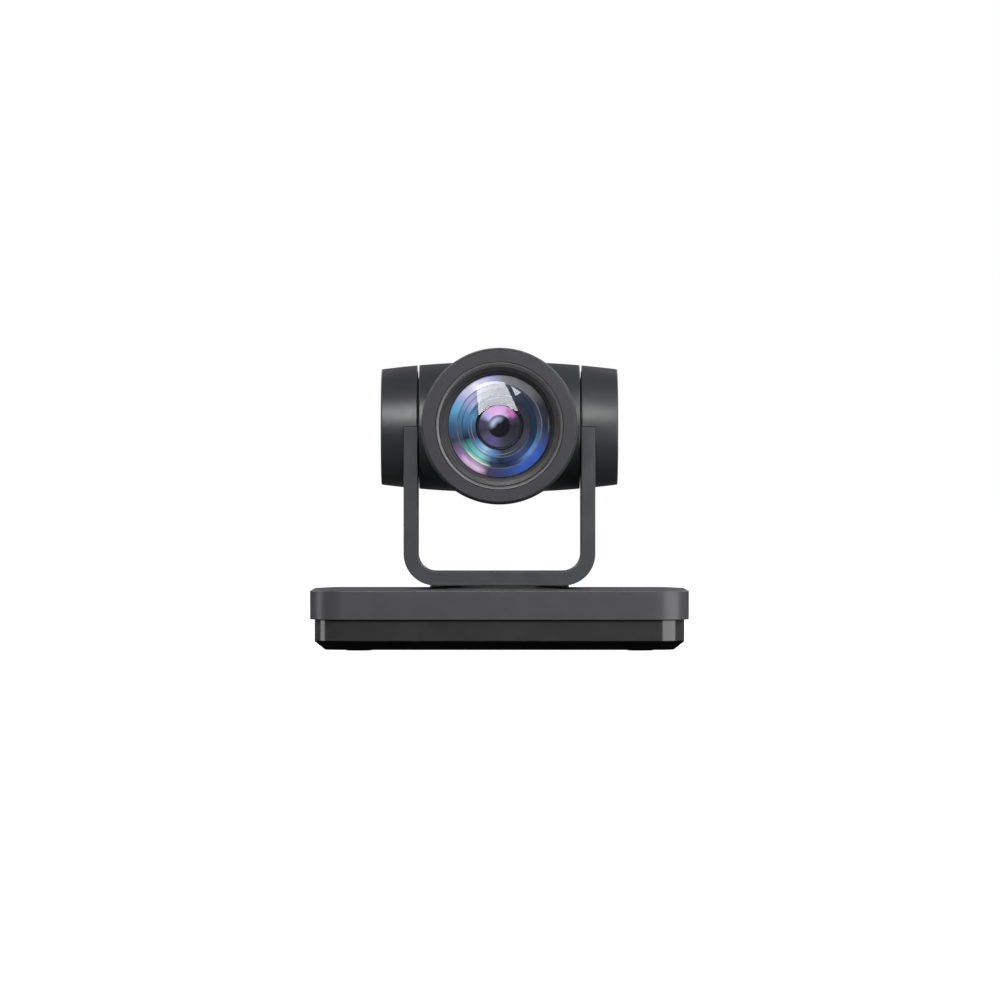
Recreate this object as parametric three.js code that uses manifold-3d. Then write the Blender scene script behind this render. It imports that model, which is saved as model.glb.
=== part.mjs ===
// A desktop pan, tilt and zoom conference camera, in millimetres, with +Z up.
//
// The origin is on the surface that the feet stand on, under the pan axis. The lens looks along -Y, and +X is
// to the right of someone facing the lens. Every piece is one closed solid, and neighbours keep a small gap.
import * as THREE from 'three';
import { mergeVertices } from 'three/addons/utils/BufferGeometryUtils.js';
import Module from 'manifold-3d';

const wasm = await Module();
wasm.setup();

// ---------------------------------------------------------------------------------- driving dimensions

const GAP = 0.3; // between pieces that touch
const FINE = 32; // segments round a large circle
const ROUND = 20; // segments round a middling circle
const COARSE = 10; // segments round a small circle

const AXIS_Z = 124.4; // height of the tilt axis

const COVER = { width: 210, depth: 142, radius: 20, bottom: 17.3, top: 33.3, wall: 2.4 };
const TRAY = { width: 205, depth: 137, radius: 17.5, bottom: 0.6, top: 16.7, floor: 2.4 };
const CHAMFER = { height: 4.75, width: 5.8 }; // round the tray's bottom edge
const BAND = { bottom: 5.65, top: 17, wall: 2, rearEnd: 55 }; // smoked band round the front and sides
const PLINTH = { radius: 52.5, topRadius: 42, height: 1 }; // shallow boss on the cover
const COVER_HOLE_RADIUS = 31;

const BAY = { halfWidth: 77.6, front: 57.6, rear: 70.4, bottom: 3.3, top: 28.3, wall: 1.2 }; // of the sockets

const TURNTABLE = { radius: 39, bottom: 34.6, top: 35.45, bossRadius: 24, bossBottom: 31.5 };
const PAN_SHAFT = { radius: 11, bore: 8, bottom: 13, top: 31.2 };
const PAN_PLATE = { bottom: 25, top: 27, halfX: 58, halfY: 46, legRadius: 3.2 };
const PAN_BEARING = { outer: 17, inner: 11.3, bottom: 24.6, top: 29.4 };
const PAN_GEAR = { teeth: 36, module: 1.5, bottom: 19.4, top: 23.4 };
const PAN_PINION_TEETH = 12;

const YOKE = { halfWidth: 53.4, wall: 7.8, bottom: 35.75, halfDepth: 34.2, cornerRadius: 17.8 };
const YOKE_INNER = YOKE.halfWidth - YOKE.wall;
const YOKE_FLOOR = YOKE.bottom + YOKE.wall;
const ARM_END_RADIUS = 31.3; // the arm's round end, under the housing's arch
const CHANNEL = { halfDepth: 22, depth: 4.2, top: AXIS_Z - 34 }; // cable groove in the yoke's inner face
const LINER_WALL = 1.5;

const BARREL_BULGE = 1024; // the drum's radius falls by x * x / BARREL_BULGE
const DRUM_RADIUS = 36.65; // at the middle of the drum
const DRUM_HALF = 45; // half the drum's width
const HOUSING = { inner: 46, outer: 66.2, wall: 2.3 };
const END_COVER = { radius: 27.4, inner: 64.4, outer: 65.9 };

const CAN = { frontY: -50.2, frontRadius: 43.5, rearY: 42, wall: 2.4 }; // the head's body behind the bezel
const BEZEL = { front: -58.5, back: -50.5, radius: 42.7, faceInner: 35.5 };
const GLASS = { radius: 28.4, edgeY: -52.2, sag: 5.4, rearY: -49.6 };

const COLLAR = { radius: 27.8, outer: 45.35, recess: 1.2 }; // seen in the slot between head and end housing
const HUB = { boss: 12, inner: 37.8, shaft: 7, bore: 4.5, end: 63.8 };
const TILT_BEARING = { outer: 10.9, inner: 7.3, from: 47.2, to: 53 };
const TILT_GEAR = { teeth: 32, module: 0.9, from: 60.3, to: 63.8 };
const TILT_PINION_TEETH = 12;
const TILT_MOTOR = { radius: 8.2, from: 47.4, to: 59.5 };

// ------------------------------------------------------------------------------------------- materials

const finish = (color, roughness, metalness = 0) =>
  new THREE.MeshStandardMaterial({ color, roughness, metalness });
const GREY_SHELL = finish(0x525156, 0.42);
const YOKE_PAINT = finish(0x4b4e54, 0.45, 0.2);
const HEAD_SHELL = finish(0x33383c, 0.4);
const BEZEL_GREY = finish(0x504f54, 0.5);
const BLACK_PLASTIC = finish(0x101011, 0.5);
const SMOKED = finish(0x373737, 0.12);
const STEEL = finish(0x9a9ca0, 0.35, 1);
const BRASS = finish(0xb08d4a, 0.35, 1);
const ALUMINIUM = finish(0xb4b6b8, 0.4, 1);
const BOARD_GREEN = finish(0x1c5a38, 0.6);
const RUBBER = finish(0x1a1a1a, 0.9);
const WHITE_GEAR = finish(0xe6e4dc, 0.5);
const GLASS_COATED = finish(0x5d7fb0, 0.05);
const CABLE_GREY = finish(0x8a8c90, 0.6);

// --------------------------------------------------------------------------------------- solid helpers

/** Turns a closed geometry into a manifold solid that faces outwards. */
function solid(geometry) {
  const source = geometry.index ? geometry.toNonIndexed() : geometry;
  const bare = new THREE.BufferGeometry().setAttribute('position', source.getAttribute('position'));
  const merged = mergeVertices(bare, 1e-4);
  const corners = merged.index.array;
  const kept = [];
  for (let i = 0; i < corners.length; i += 3) {
    const [a, b, c] = corners.slice(i, i + 3);
    if (a !== b && b !== c && a !== c) kept.push([a, b, c]);
  }
  const build = (faces) =>
    new wasm.Manifold(
      new wasm.Mesh({
        numProp: 3,
        vertProperties: merged.attributes.position.array,
        triVerts: new Uint32Array(faces.flat()),
      }),
    );
  const made = build(kept);
  return made.volume() < 0 ? build(kept.map(([a, b, c]) => [a, c, b])) : made;
}

const join = (first, ...others) => others.reduce((sum, next) => sum.add(next), first);
const cut = (first, ...others) => others.reduce((rest, next) => rest.subtract(next), first);

/** A box between two corners. */
function box([x0, x1], [y0, y1], [z0, z1]) {
  const geometry = new THREE.BoxGeometry(x1 - x0, y1 - y0, z1 - z0);
  return solid(geometry.translate((x0 + x1) / 2, (y0 + y1) / 2, (z0 + z1) / 2));
}

/** Turns a geometry built round +Y so that it runs along the named axis. */
function along(geometry, axis) {
  if (axis === 'x') return geometry.rotateZ(-Math.PI / 2);
  return axis === 'z' ? geometry.rotateX(Math.PI / 2) : geometry;
}

/** A round bar from one place to another along an axis, centred at the given point of the other two axes. */
function rod(axis, radius, [from, to], at = [0, 0, 0], segments = ROUND) {
  const geometry = new THREE.CylinderGeometry(radius, radius, to - from, segments);
  return solid(along(geometry.translate(0, (from + to) / 2, 0), axis).translate(...at));
}

/** A turned piece: a closed profile of [radius, place along the axis] pairs. */
function turned(axis, profile, segments = ROUND, at = [0, 0, 0]) {
  const points = profile.map(([radius, place]) => new THREE.Vector2(radius, place));
  const first = profile[0];
  const last = profile[profile.length - 1];
  const onAxis = first[0] === 0 && last[0] === 0;
  if (!onAxis) points.push(points[0].clone());
  return solid(along(new THREE.LatheGeometry(points, segments), axis).translate(...at));
}

/** A tube from one place to another along an axis. */
function tube(axis, outer, inner, [from, to], at = [0, 0, 0], segments = ROUND) {
  const profile = [[inner, from], [outer, from], [outer, to], [inner, to]];
  return turned(axis, profile, segments, at);
}

/** A rectangle with round corners, centred on the origin. */
function roundedRectangle(width, depth, radius) {
  const [x, y] = [width / 2 - radius, depth / 2 - radius];
  const shape = new THREE.Shape();
  shape.absarc(x, y, radius, 0, Math.PI / 2);
  shape.absarc(-x, y, radius, Math.PI / 2, Math.PI);
  shape.absarc(-x, -y, radius, Math.PI, 1.5 * Math.PI);
  shape.absarc(x, -y, radius, 1.5 * Math.PI, 2 * Math.PI);
  return shape;
}

/** A shape of the XY plane, raised from one height to another. */
function raised(shape, [bottom, top], curveSegments = 5) {
  const settings = { depth: top - bottom, bevelEnabled: false, curveSegments };
  const geometry = new THREE.ExtrudeGeometry(shape, settings);
  return solid(geometry.translate(0, 0, bottom));
}

/** A shape drawn in the XZ plane, carried through Y between two places. */
function carried(shape, [from, to], curveSegments = 5) {
  const settings = { depth: to - from, bevelEnabled: false, curveSegments };
  const geometry = new THREE.ExtrudeGeometry(shape, settings);
  return solid(geometry.rotateX(Math.PI / 2).translate(0, to, 0));
}

/** The drum's radius at a distance x from its middle. */
const drumRadius = (x) => DRUM_RADIUS - (x * x) / BARREL_BULGE;

/** Points of the drum's bulging profile from one x to another, moved in or out by an offset. */
function drumProfile(from, to, offset, steps) {
  return Array.from({ length: steps + 1 }, (_, i) => {
    const x = from + ((to - from) * i) / steps;
    return [drumRadius(x) + offset, x];
  });
}

/** A spur gear's outline, thinned by the backlash, with its first tooth turned to the phase angle. */
function gearShape(teeth, module, backlash, phase = 0) {
  const pitch = (teeth * module) / 2;
  const base = pitch * Math.cos(Math.PI / 9);
  const tip = pitch + 0.9 * module;
  const root = pitch - 1.25 * module;
  const roll = (radius) => {
    const t = Math.sqrt((radius / base) ** 2 - 1);
    return t - Math.atan(t);
  };
  const halfPitch = Math.PI / (2 * teeth) - backlash / (2 * pitch);
  const flank = [root, pitch, tip];
  const shape = new THREE.Shape();
  for (let tooth = 0; tooth < teeth; tooth++) {
    const centre = phase + (2 * Math.PI * tooth) / teeth;
    const half = (radius) => halfPitch + roll(pitch) - roll(Math.max(radius, base));
    const up = flank.map((radius) => [radius, centre - half(radius)]);
    const down = [...flank].reverse().map((radius) => [radius, centre + half(radius)]);
    [...up, ...down].forEach(([radius, angle], i) => {
      const place = [radius * Math.cos(angle), radius * Math.sin(angle)];
      if (tooth === 0 && i === 0) shape.moveTo(...place);
      else shape.lineTo(...place);
    });
  }
  return shape;
}

const camera = new THREE.Group();

/** Adds a named piece to the camera. */
function piece(name, body, material) {
  const { numProp, vertProperties, triVerts } = body.getMesh();
  const places = new Float32Array((vertProperties.length / numProp) * 3);
  for (let i = 0; i < places.length / 3; i++) {
    places.set(vertProperties.subarray(i * numProp, i * numProp + 3), i * 3);
  }
  const geometry = new THREE.BufferGeometry();
  geometry.setAttribute('position', new THREE.BufferAttribute(places, 3));
  geometry.setIndex(new THREE.BufferAttribute(triVerts, 1));
  const mesh = new THREE.Mesh(geometry, material);
  mesh.name = name;
  camera.add(mesh);
}

// ------------------------------------------------------------------------------------------------ base

/** The black bottom pan: a chamfered floor, walls inside the smoked band, and full walls at the rear. */
function buildTray() {
  const { width, depth, radius, bottom, top, floor } = TRAY;
  const outline = roundedRectangle(width, depth, radius);
  const bevel = {
    depth: 20,
    bevelThickness: CHAMFER.height,
    bevelSize: CHAMFER.width,
    bevelOffset: -CHAMFER.width,
    bevelSegments: 1,
    curveSegments: 5,
  };
  const pan = solid(new THREE.ExtrudeGeometry(outline, bevel).translate(0, 0, bottom + CHAMFER.height));
  const chamferTop = bottom + CHAMFER.height;
  const wallInset = BAND.wall + GAP;
  const wall = 1.8;
  const innerRim = raised(
    roundedRectangle(width - 2 * wallInset, depth - 2 * wallInset, radius - wallInset),
    [chamferTop - 1, top],
  );
  const hollowInset = 2 * (wallInset + wall);
  const hollow = raised(
    roundedRectangle(width - hollowInset, depth - hollowInset, radius - wallInset - wall),
    [bottom + floor, top + 9],
  );
  const rearCorners = pan.intersect(box([-110, 110], [BAND.rearEnd + GAP, 80], [chamferTop, top]));
  let body = join(pan.intersect(box([-110, 110], [-80, 80], [0, chamferTop])), innerRim, rearCorners);
  body = cut(body, hollow);
  body = cut(body, box([-BAY.halfWidth - GAP, BAY.halfWidth + GAP], [BAY.front - GAP, 80], [3, 40]));
  const footRecesses = footPlaces().map(([x, y]) => rod('z', 8.3, [0, 1.6], [x, y, 0], COARSE));
  const insertHole = rod('z', 7 + GAP, [0, 4], [0, 0, 0], ROUND);
  piece('base_tray', cut(body, ...footRecesses, insertHole), BLACK_PLASTIC);
}

/** The four places where feet sit. */
function footPlaces() {
  return [-1, 1].flatMap((sideY) => [-1, 1].map((sideX) => [sideX * 78, sideY * 46]));
}

/** Rubber feet, which stand 0.6 mm below the tray. */
function buildFeet() {
  footPlaces().forEach(([x, y], i) => {
    const pad = turned('z', [[0, 0], [7.4, 0], [8, 0.6], [8, 1.3], [0, 1.3]], COARSE, [x, y, 0]);
    piece(`foot_${i + 1}`, pad, RUBBER);
  });
}

/** The brass insert for a tripod screw, in the middle of the tray's floor. */
function buildTripodInsert() {
  const threadRadius = 3.2;
  const profile = [
    [threadRadius, TRAY.bottom + GAP],
    [7, TRAY.bottom + GAP],
    [7, 4.6],
    [5.6, 4.6],
    [5.6, 11],
    [threadRadius, 11],
  ];
  piece('tripod_insert', turned('z', profile, ROUND), BRASS);
}

/** The smoked band that lets the remote control's light through to the receiver. */
function buildBand() {
  const { wall, bottom, top, rearEnd } = BAND;
  const outer = raised(roundedRectangle(TRAY.width, TRAY.depth, TRAY.radius), [bottom, top]);
  const inner = raised(
    roundedRectangle(TRAY.width - 2 * wall, TRAY.depth - 2 * wall, TRAY.radius - wall),
    [bottom - 1, top + 1],
  );
  piece('ir_band', cut(outer, inner, box([-110, 110], [rearEnd, 80], [0, 20])), SMOKED);
}

/** The upper cover: a rounded slab, hollow underneath, with a shallow plinth round the pan axis. */
function buildCover() {
  const { width, depth, radius, bottom, top, wall } = COVER;
  const outer = raised(roundedRectangle(width, depth, radius), [bottom, top]);
  const plinthProfile = [
    [0, top - 1],
    [PLINTH.radius, top - 1],
    [PLINTH.radius, top],
    [PLINTH.topRadius, top + PLINTH.height],
    [0, top + PLINTH.height],
  ];
  const plinth = turned('z', plinthProfile, FINE);
  const inner = raised(
    roundedRectangle(width - 2 * wall, depth - 2 * wall, radius - wall),
    [bottom - 1, top - wall],
  );
  const hole = rod('z', COVER_HOLE_RADIUS, [top - 5, top + 5], [0, 0, 0], FINE);
  const { halfWidth, front } = BAY;
  const bay = box([-halfWidth - GAP, halfWidth + GAP], [front - GAP, 80], [bottom - 1, BAY.top + GAP]);
  piece('base_cover', cut(join(outer, plinth), inner, hole, bay), GREY_SHELL);
}

// Each socket: its place along the rear panel, its height, and the size of its hole in the panel.
const SOCKET_Z = 16;
const PANEL_HOLES = {
  power: { x: 64, radius: 4.6 },
  network: { x: 44, width: 16.6, height: 14.2 },
  usb: { x: 22.5, width: 13.8, height: 6.6 },
  hdmi: { x: 1, width: 15.8, height: 6.4 },
  sdi: { x: -18, radius: 6.6 },
  audio: { x: -31, radius: 3.3 },
  serialOut: { x: -42, radius: 5.4 },
  serialIn: { x: -55, radius: 5.4 },
  dial: { x: -67, radius: 3.9 },
};

/** The steel rear panel: an open tray set into the back of the base, pierced for the sockets. */
function buildRearPanel() {
  const { halfWidth, front, rear, bottom, top, wall } = BAY;
  const outer = box([-halfWidth, halfWidth], [front, rear], [bottom, top]);
  const inner = box(
    [-halfWidth + wall, halfWidth - wall],
    [front + wall, rear + 1],
    [bottom + wall, top - wall],
  );
  const through = [front - 1, front + wall + 1];
  const holes = Object.values(PANEL_HOLES).map(({ x, radius, width, height }) =>
    radius
      ? rod('y', radius, through, [x, 0, SOCKET_Z], COARSE)
      : box([x - width / 2, x + width / 2], through, [SOCKET_Z - height / 2, SOCKET_Z + height / 2]),
  );
  const lockSlot = box([-1.5, 1.5], through, [0, 7]).translate([72.5, 0, SOCKET_Z - 3.5]);
  piece('rear_panel', cut(outer, inner, ...holes, lockSlot), STEEL);
}

/** A socket with a rectangular mouth, and a tongue across it where it has one. */
function boxSocket(name, place, { mouth, shell, length, tongue }, material) {
  const { x } = place;
  const rear = BAY.front + BAY.wall + 0.8;
  const body = box([-shell[0] / 2, shell[0] / 2], [rear - length, rear], [-shell[1] / 2, shell[1] / 2]);
  const mouthDepth = length - 4;
  const [wide, high] = mouth;
  const cavity = box([-wide / 2, wide / 2], [rear - mouthDepth, rear + 1], [-high / 2, high / 2]);
  let made = cut(body, cavity);
  if (tongue) {
    const [across, thick] = tongue;
    const span = [rear - mouthDepth - 1, rear - 1.2];
    made = join(made, box([-across / 2, across / 2], span, [-thick / 2, thick / 2]));
  }
  piece(name, made.translate([x, 0, SOCKET_Z]), material);
}

/** The sockets along the rear panel. */
function buildSockets() {
  const rear = BAY.front + BAY.wall + 0.8;
  boxSocket('rj45_jack', PANEL_HOLES.network, { mouth: [12, 8.6], shell: [16, 13.6], length: 16 }, STEEL);
  boxSocket(
    'usb_port',
    PANEL_HOLES.usb,
    { mouth: [12, 4.8], shell: [13.2, 6], length: 14, tongue: [11, 1.8] },
    STEEL,
  );
  boxSocket(
    'hdmi_port',
    PANEL_HOLES.hdmi,
    { mouth: [14, 4.5], shell: [15.2, 5.8], length: 12, tongue: [11.6, 1] },
    STEEL,
  );

  buildPowerJack(rear);
  buildCoaxialJack(rear);
  buildAudioJack(rear);
  buildSerialJacks(rear);
  buildDial(rear);
}

/** A round bar along Y that starts and ends at distances behind or in front of the sockets' rear faces. */
const barrel = (radius, span, at = [0, 0, 0], segments = COARSE) => rod('y', radius, span, at, segments);

/** The power socket: a round mouth with a pin in its middle. */
function buildPowerJack(rear) {
  const nose = barrel(4.2, [rear - 9, rear]);
  const body = box([-4.6, 4.6], [rear - 14, rear - 3.2], [-5.4, 5.4]);
  const mouth = barrel(3.2, [rear - 9.5, rear + 1]);
  const pin = barrel(1, [rear - 10, rear - 1]);
  const jack = join(cut(join(nose, body), mouth), pin);
  piece('power_jack', jack.translate([PANEL_HOLES.power.x, 0, SOCKET_Z]), BLACK_PLASTIC);
}

/** The bayonet coaxial jack, which stands out of the panel inside the recess. */
function buildCoaxialJack(rear) {
  const sleeve = tube('y', 4.8, 3.4, [rear - 4, rear + 9], [0, 0, 0], COARSE);
  const flange = barrel(6.2, [rear - 4, rear + 1.2]);
  const pin = barrel(1, [rear, rear + 7]);
  const lugs = cut(rod('z', 1, [-5.8, 5.8], [0, rear + 6, 0], COARSE), barrel(4, [rear, rear + 9]));
  const body = box([-5, 5], [rear - 12, rear - 3.2], [-5, 5]);
  const jack = join(sleeve, flange, pin, lugs, body);
  piece('sdi_connector', jack.translate([PANEL_HOLES.sdi.x, 0, SOCKET_Z]), STEEL);
}

/** The small round audio socket. */
function buildAudioJack(rear) {
  const nose = barrel(3, [rear - 8, rear]);
  const body = box([-3.2, 3.2], [rear - 13, rear - 3.2], [-3.2, 3.2]);
  const mouth = barrel(1.8, [rear - 9, rear + 1]);
  const jack = cut(join(nose, body), mouth);
  piece('audio_jack', jack.translate([PANEL_HOLES.audio.x, 0, SOCKET_Z]), BLACK_PLASTIC);
}

/** The two round serial sockets, each with a ring-shaped mouth and contact holes in its middle. */
function buildSerialJacks(rear) {
  const nose = barrel(5.1, [rear - 8, rear]);
  const body = box([-5, 5], [rear - 12, rear - 3.2], [-5.4, 5.4]);
  const mouth = tube('y', 4.4, 3.4, [rear - 6, rear + 1], [0, 0, 0], COARSE);
  const contacts = [0, 1, 2, 3].map((contact) => {
    const angle = ((contact + 0.5) * Math.PI) / 2;
    return barrel(0.45, [rear - 6, rear + 1], [1.8 * Math.cos(angle), 0, 1.8 * Math.sin(angle)], 6);
  });
  const jack = cut(join(nose, body), mouth, ...contacts);
  piece('serial_in', jack.translate([PANEL_HOLES.serialIn.x, 0, SOCKET_Z]), BLACK_PLASTIC);
  piece('serial_out', jack.translate([PANEL_HOLES.serialOut.x, 0, SOCKET_Z]), BLACK_PLASTIC);
}

/** The dial that sets the camera's address, turned with a screwdriver. */
function buildDial(rear) {
  const face = barrel(3.4, [rear - 3.6, rear + 0.6]);
  const spindle = barrel(1.2, [rear - 6, rear - 3]);
  const slot = box([-2.6, 2.6], [rear - 0.6, rear + 1], [-0.5, 0.5]);
  const dial = cut(join(face, spindle), slot);
  piece('address_dial', dial.translate([PANEL_HOLES.dial.x, 0, SOCKET_Z]), BLACK_PLASTIC);
}

/** The main circuit board, shaped round the pan drive. */
function buildMainBoard() {
  const height = [5.6, 7.2];
  const legHoles = legPlaces().map(([x, y]) => rod('z', PAN_PLATE.legRadius + 1, [5, 8], [x, y, 0], 12));
  const board = cut(box([-88, 88], [-60, 44], height), box([-51, 51], [-61, 30], [5, 8]), ...legHoles);
  const chips = join(
    box([-70, -52], [-10, 8], [7, 8.8]),
    box([52, 66], [-14, 0], [7, 9]),
    box([56, 80], [14, 30], [7, 10]),
    box([-82, -70], [20, 36], [7, 12]),
    box([-30, -14], [33, 43], [7, 8.6]),
    box([10, 28], [33, 43], [7, 8.6]),
  );
  piece('main_board', join(board, chips), BOARD_GREEN);
}

/** Receiver for the remote control, just behind the smoked band. */
function buildReceiver() {
  const front = -TRAY.depth / 2 + BAND.wall + GAP + 1.8 + GAP;
  const lens = rod('z', 2.2, [8.6, 14.6], [66, front + 2.3, 0], 12);
  piece('ir_receiver', join(box([62, 70], [front + 2, front + 5], [8, 15.4]), lens), BLACK_PLASTIC);
}

// ------------------------------------------------------------------------------------------- pan drive

/** Where the pan plate's four legs stand. */
function legPlaces() {
  return [-1, 1].flatMap((sideY) => [-1, 1].map((sideX) => [sideX * 52, sideY * 40]));
}

const PAN_PINION_X = ((PAN_GEAR.teeth + PAN_PINION_TEETH) * PAN_GEAR.module) / 2;

/** The steel plate on four legs that carries the pan bearing. */
function buildPanPlate() {
  const { bottom, top, halfX, halfY, legRadius } = PAN_PLATE;
  const sheet = raised(roundedRectangle(2 * halfX, 2 * halfY, 8), [bottom, top], 4);
  const legs = legPlaces().map(([x, y]) => rod('z', legRadius, [3.3, bottom + 1], [x, y, 0], 12));
  const seat = rod('z', PAN_BEARING.outer + GAP, [bottom - 1, top + 1], [0, 0, 0], ROUND);
  piece('pan_plate', cut(join(sheet, ...legs), seat), STEEL);
}

/** The pan bearing, with a flange that rests on the plate. */
function buildPanBearing() {
  const { outer, inner, bottom, top } = PAN_BEARING;
  const profile = [
    [inner, bottom],
    [outer, bottom],
    [outer, PAN_PLATE.top + GAP],
    [outer + 2.5, PAN_PLATE.top + GAP],
    [outer + 2.5, top],
    [inner, top],
  ];
  piece('pan_bearing', turned('z', profile), STEEL);
}

/** The stepper motor that drives the pan gear, standing on the tray's floor. */
function buildPanMotor() {
  const body = rod('z', 12.5, [4.8, 18], [PAN_PINION_X, 0, 0]);
  const flange = box([PAN_PINION_X - 16, PAN_PINION_X + 16], [-5, 5], [3.3, 5.2]);
  const boss = rod('z', 4, [17, 19], [PAN_PINION_X, 0, 0], COARSE);
  piece('pan_motor', join(body, flange, boss), STEEL);
}

/** The pinion and the gear that it turns. */
function buildPanGears() {
  const { teeth, module, bottom, top } = PAN_GEAR;
  const backlash = 0.3;
  const wheel = raised(gearShape(teeth, module, backlash), [bottom, top]);
  const hub = rod('z', 14, [bottom - 3, bottom + 1]);
  const bore = rod('z', PAN_SHAFT.radius + GAP, [bottom - 5, top + 5]);
  const windows = [0, 1, 2, 3, 4, 5].map((spoke) => {
    const angle = ((spoke + 0.5) * Math.PI) / 3;
    return rod('z', 4, [bottom - 1, top + 1], [20 * Math.cos(angle), 20 * Math.sin(angle), 0], 8);
  });
  piece('pan_gear', cut(join(wheel, hub), bore, ...windows), WHITE_GEAR);

  // The pinion faces the gear's tooth with a space.
  const phase = Math.PI + Math.PI / PAN_PINION_TEETH;
  const pinion = raised(gearShape(PAN_PINION_TEETH, module, backlash, phase), [bottom, top]);
  const stub = rod('z', 1.5, [top - 1, top + 1.2], [0, 0, 0], 12);
  piece('pan_pinion', join(pinion, stub).translate([PAN_PINION_X, 0, 0]), BRASS);
}

/** A small board with the sensor that finds the pan's home position. */
function buildPanSensor() {
  const board = box([-42, -24], [-6, 6], [12.2, 13.6]);
  const chip = box([-31, -26], [-2.5, 2.5], [13.2, 15.8]);
  const post = rod('z', 2.5, [3.3, 12.6], [-38, 0, 0], 12);
  piece('pan_sensor', join(board, chip, post), BOARD_GREEN);
}

// ------------------------------------------------------------------------------------------------ yoke

/** The disc that the yoke stands on, with a boss that drops through the cover. */
function buildTurntable() {
  const { radius, bottom, top, bossRadius, bossBottom } = TURNTABLE;
  const profile = [
    [PAN_SHAFT.bore, bossBottom],
    [bossRadius, bossBottom],
    [bossRadius, bottom],
    [radius, bottom],
    [radius, top],
    [PAN_SHAFT.bore, top],
  ];
  piece('turntable', turned('z', profile, FINE), BLACK_PLASTIC);
}

/** The hollow pan shaft, which the camera's wires pass through. */
function buildPanShaft() {
  const { radius, bore, bottom, top } = PAN_SHAFT;
  const profile = [
    [bore, bottom],
    [radius, bottom],
    [radius, top - 1.4],
    [16, top - 1.4],
    [16, top],
    [bore, top],
  ];
  piece('pan_shaft', turned('z', profile), ALUMINIUM);
}

/** The U shape of the yoke seen from the front, or of a layer inside it, as a shape of the XZ plane. */
function uShape(outer, inner, outerRadius, innerRadius, bottom, floor, top) {
  const shape = new THREE.Shape();
  shape.moveTo(outer, top);
  shape.lineTo(outer, bottom + outerRadius);
  shape.absarc(outer - outerRadius, bottom + outerRadius, outerRadius, 0, -Math.PI / 2, true);
  shape.absarc(-outer + outerRadius, bottom + outerRadius, outerRadius, -Math.PI / 2, -Math.PI, true);
  shape.lineTo(-outer, top);
  shape.lineTo(-inner, top);
  shape.absarc(-inner + innerRadius, floor + innerRadius, innerRadius, Math.PI, 1.5 * Math.PI);
  shape.absarc(inner - innerRadius, floor + innerRadius, innerRadius, 1.5 * Math.PI, 2 * Math.PI);
  shape.lineTo(inner, top);
  return shape;
}

/** A layer of the yoke between two depths below its inner face. */
function yokeLayer(from, to, halfDepth, top) {
  const innerRadius = YOKE.cornerRadius - YOKE.wall;
  const shape = uShape(
    YOKE_INNER + to,
    YOKE_INNER + from,
    innerRadius + to,
    innerRadius + from,
    YOKE_FLOOR - to,
    YOKE_FLOOR - from,
    top,
  );
  return carried(shape, [-halfDepth, halfDepth]);
}

/** A span of x on one side, between two distances from the middle. */
const sideSpan = (side, near, far) => (side > 0 ? [near, far] : [-far, -near]);

/** The U-shaped arm of cast metal, grooved inside for the wires. */
function buildYoke() {
  const band = yokeLayer(0, YOKE.wall, YOKE.halfDepth, AXIS_Z - GAP);
  const centre = [0, 0, AXIS_Z];
  const onBothSides = (make) => [-1, 1].map((side) => make((near, far) => sideSpan(side, near, far)));
  const ends = onBothSides((span) =>
    rod('x', ARM_END_RADIUS, span(YOKE_INNER, YOKE.halfWidth), centre, FINE),
  );
  const groove = yokeLayer(-1, CHANNEL.depth, CHANNEL.halfDepth, CHANNEL.top);
  const linerFace = YOKE_INNER + LINER_WALL;
  const beyond = YOKE.halfWidth + 1;
  const risers = onBothSides((span) =>
    box(span(linerFace, YOKE_INNER + CHANNEL.depth), [-8, 8], [CHANNEL.top - 1, AXIS_Z - 20]),
  );
  const seats = onBothSides((span) =>
    rod('x', TILT_BEARING.outer + GAP, span(YOKE_INNER - 1, beyond), centre),
  );
  const motorCentre = [0, 0, tiltPinionZ()];
  const pockets = onBothSides((span) =>
    rod('x', TILT_MOTOR.radius + 2 * GAP, span(linerFace, beyond), motorCentre),
  );
  const wireHole = rod('z', PAN_SHAFT.bore, [YOKE.bottom - 1, YOKE_FLOOR - 1], [0, 0, 0], ROUND);
  const frame = cut(join(band, ...ends), groove, ...risers, ...seats, ...pockets, wireHole);
  piece('yoke_frame', frame, YOKE_PAINT);
}

/** The strip that closes the yoke's groove. */
function buildLiner() {
  const layer = yokeLayer(0, LINER_WALL, CHANNEL.halfDepth - GAP, CHANNEL.top - GAP);
  piece('yoke_liner', layer, YOKE_PAINT);
}

/** The flat cable, from the pan shaft's bore along the yoke's floor and up its left arm. */
function buildRibbon() {
  const halfThick = 0.5;
  const middle = LINER_WALL + (CHANNEL.depth - LINER_WALL) / 2;
  const run = yokeLayer(middle - halfThick, middle + halfThick, 5, AXIS_Z - 24);
  const leftHalf = run.intersect(box([-80, 1], [-20, 20], [0, 200]));
  const dropSpan = [PAN_SHAFT.bottom + 1, YOKE_FLOOR - middle + halfThick];
  const drop = box([-halfThick, halfThick], [-5, 5], dropSpan);
  piece('ribbon_cable', join(cut(leftHalf, box([halfThick, 3], [-20, 20], [0, 60])), drop), CABLE_GREY);
}

/** The same piece on the other side. */
const mirrored = (body) => body.mirror([1, 0, 0]);

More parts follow.
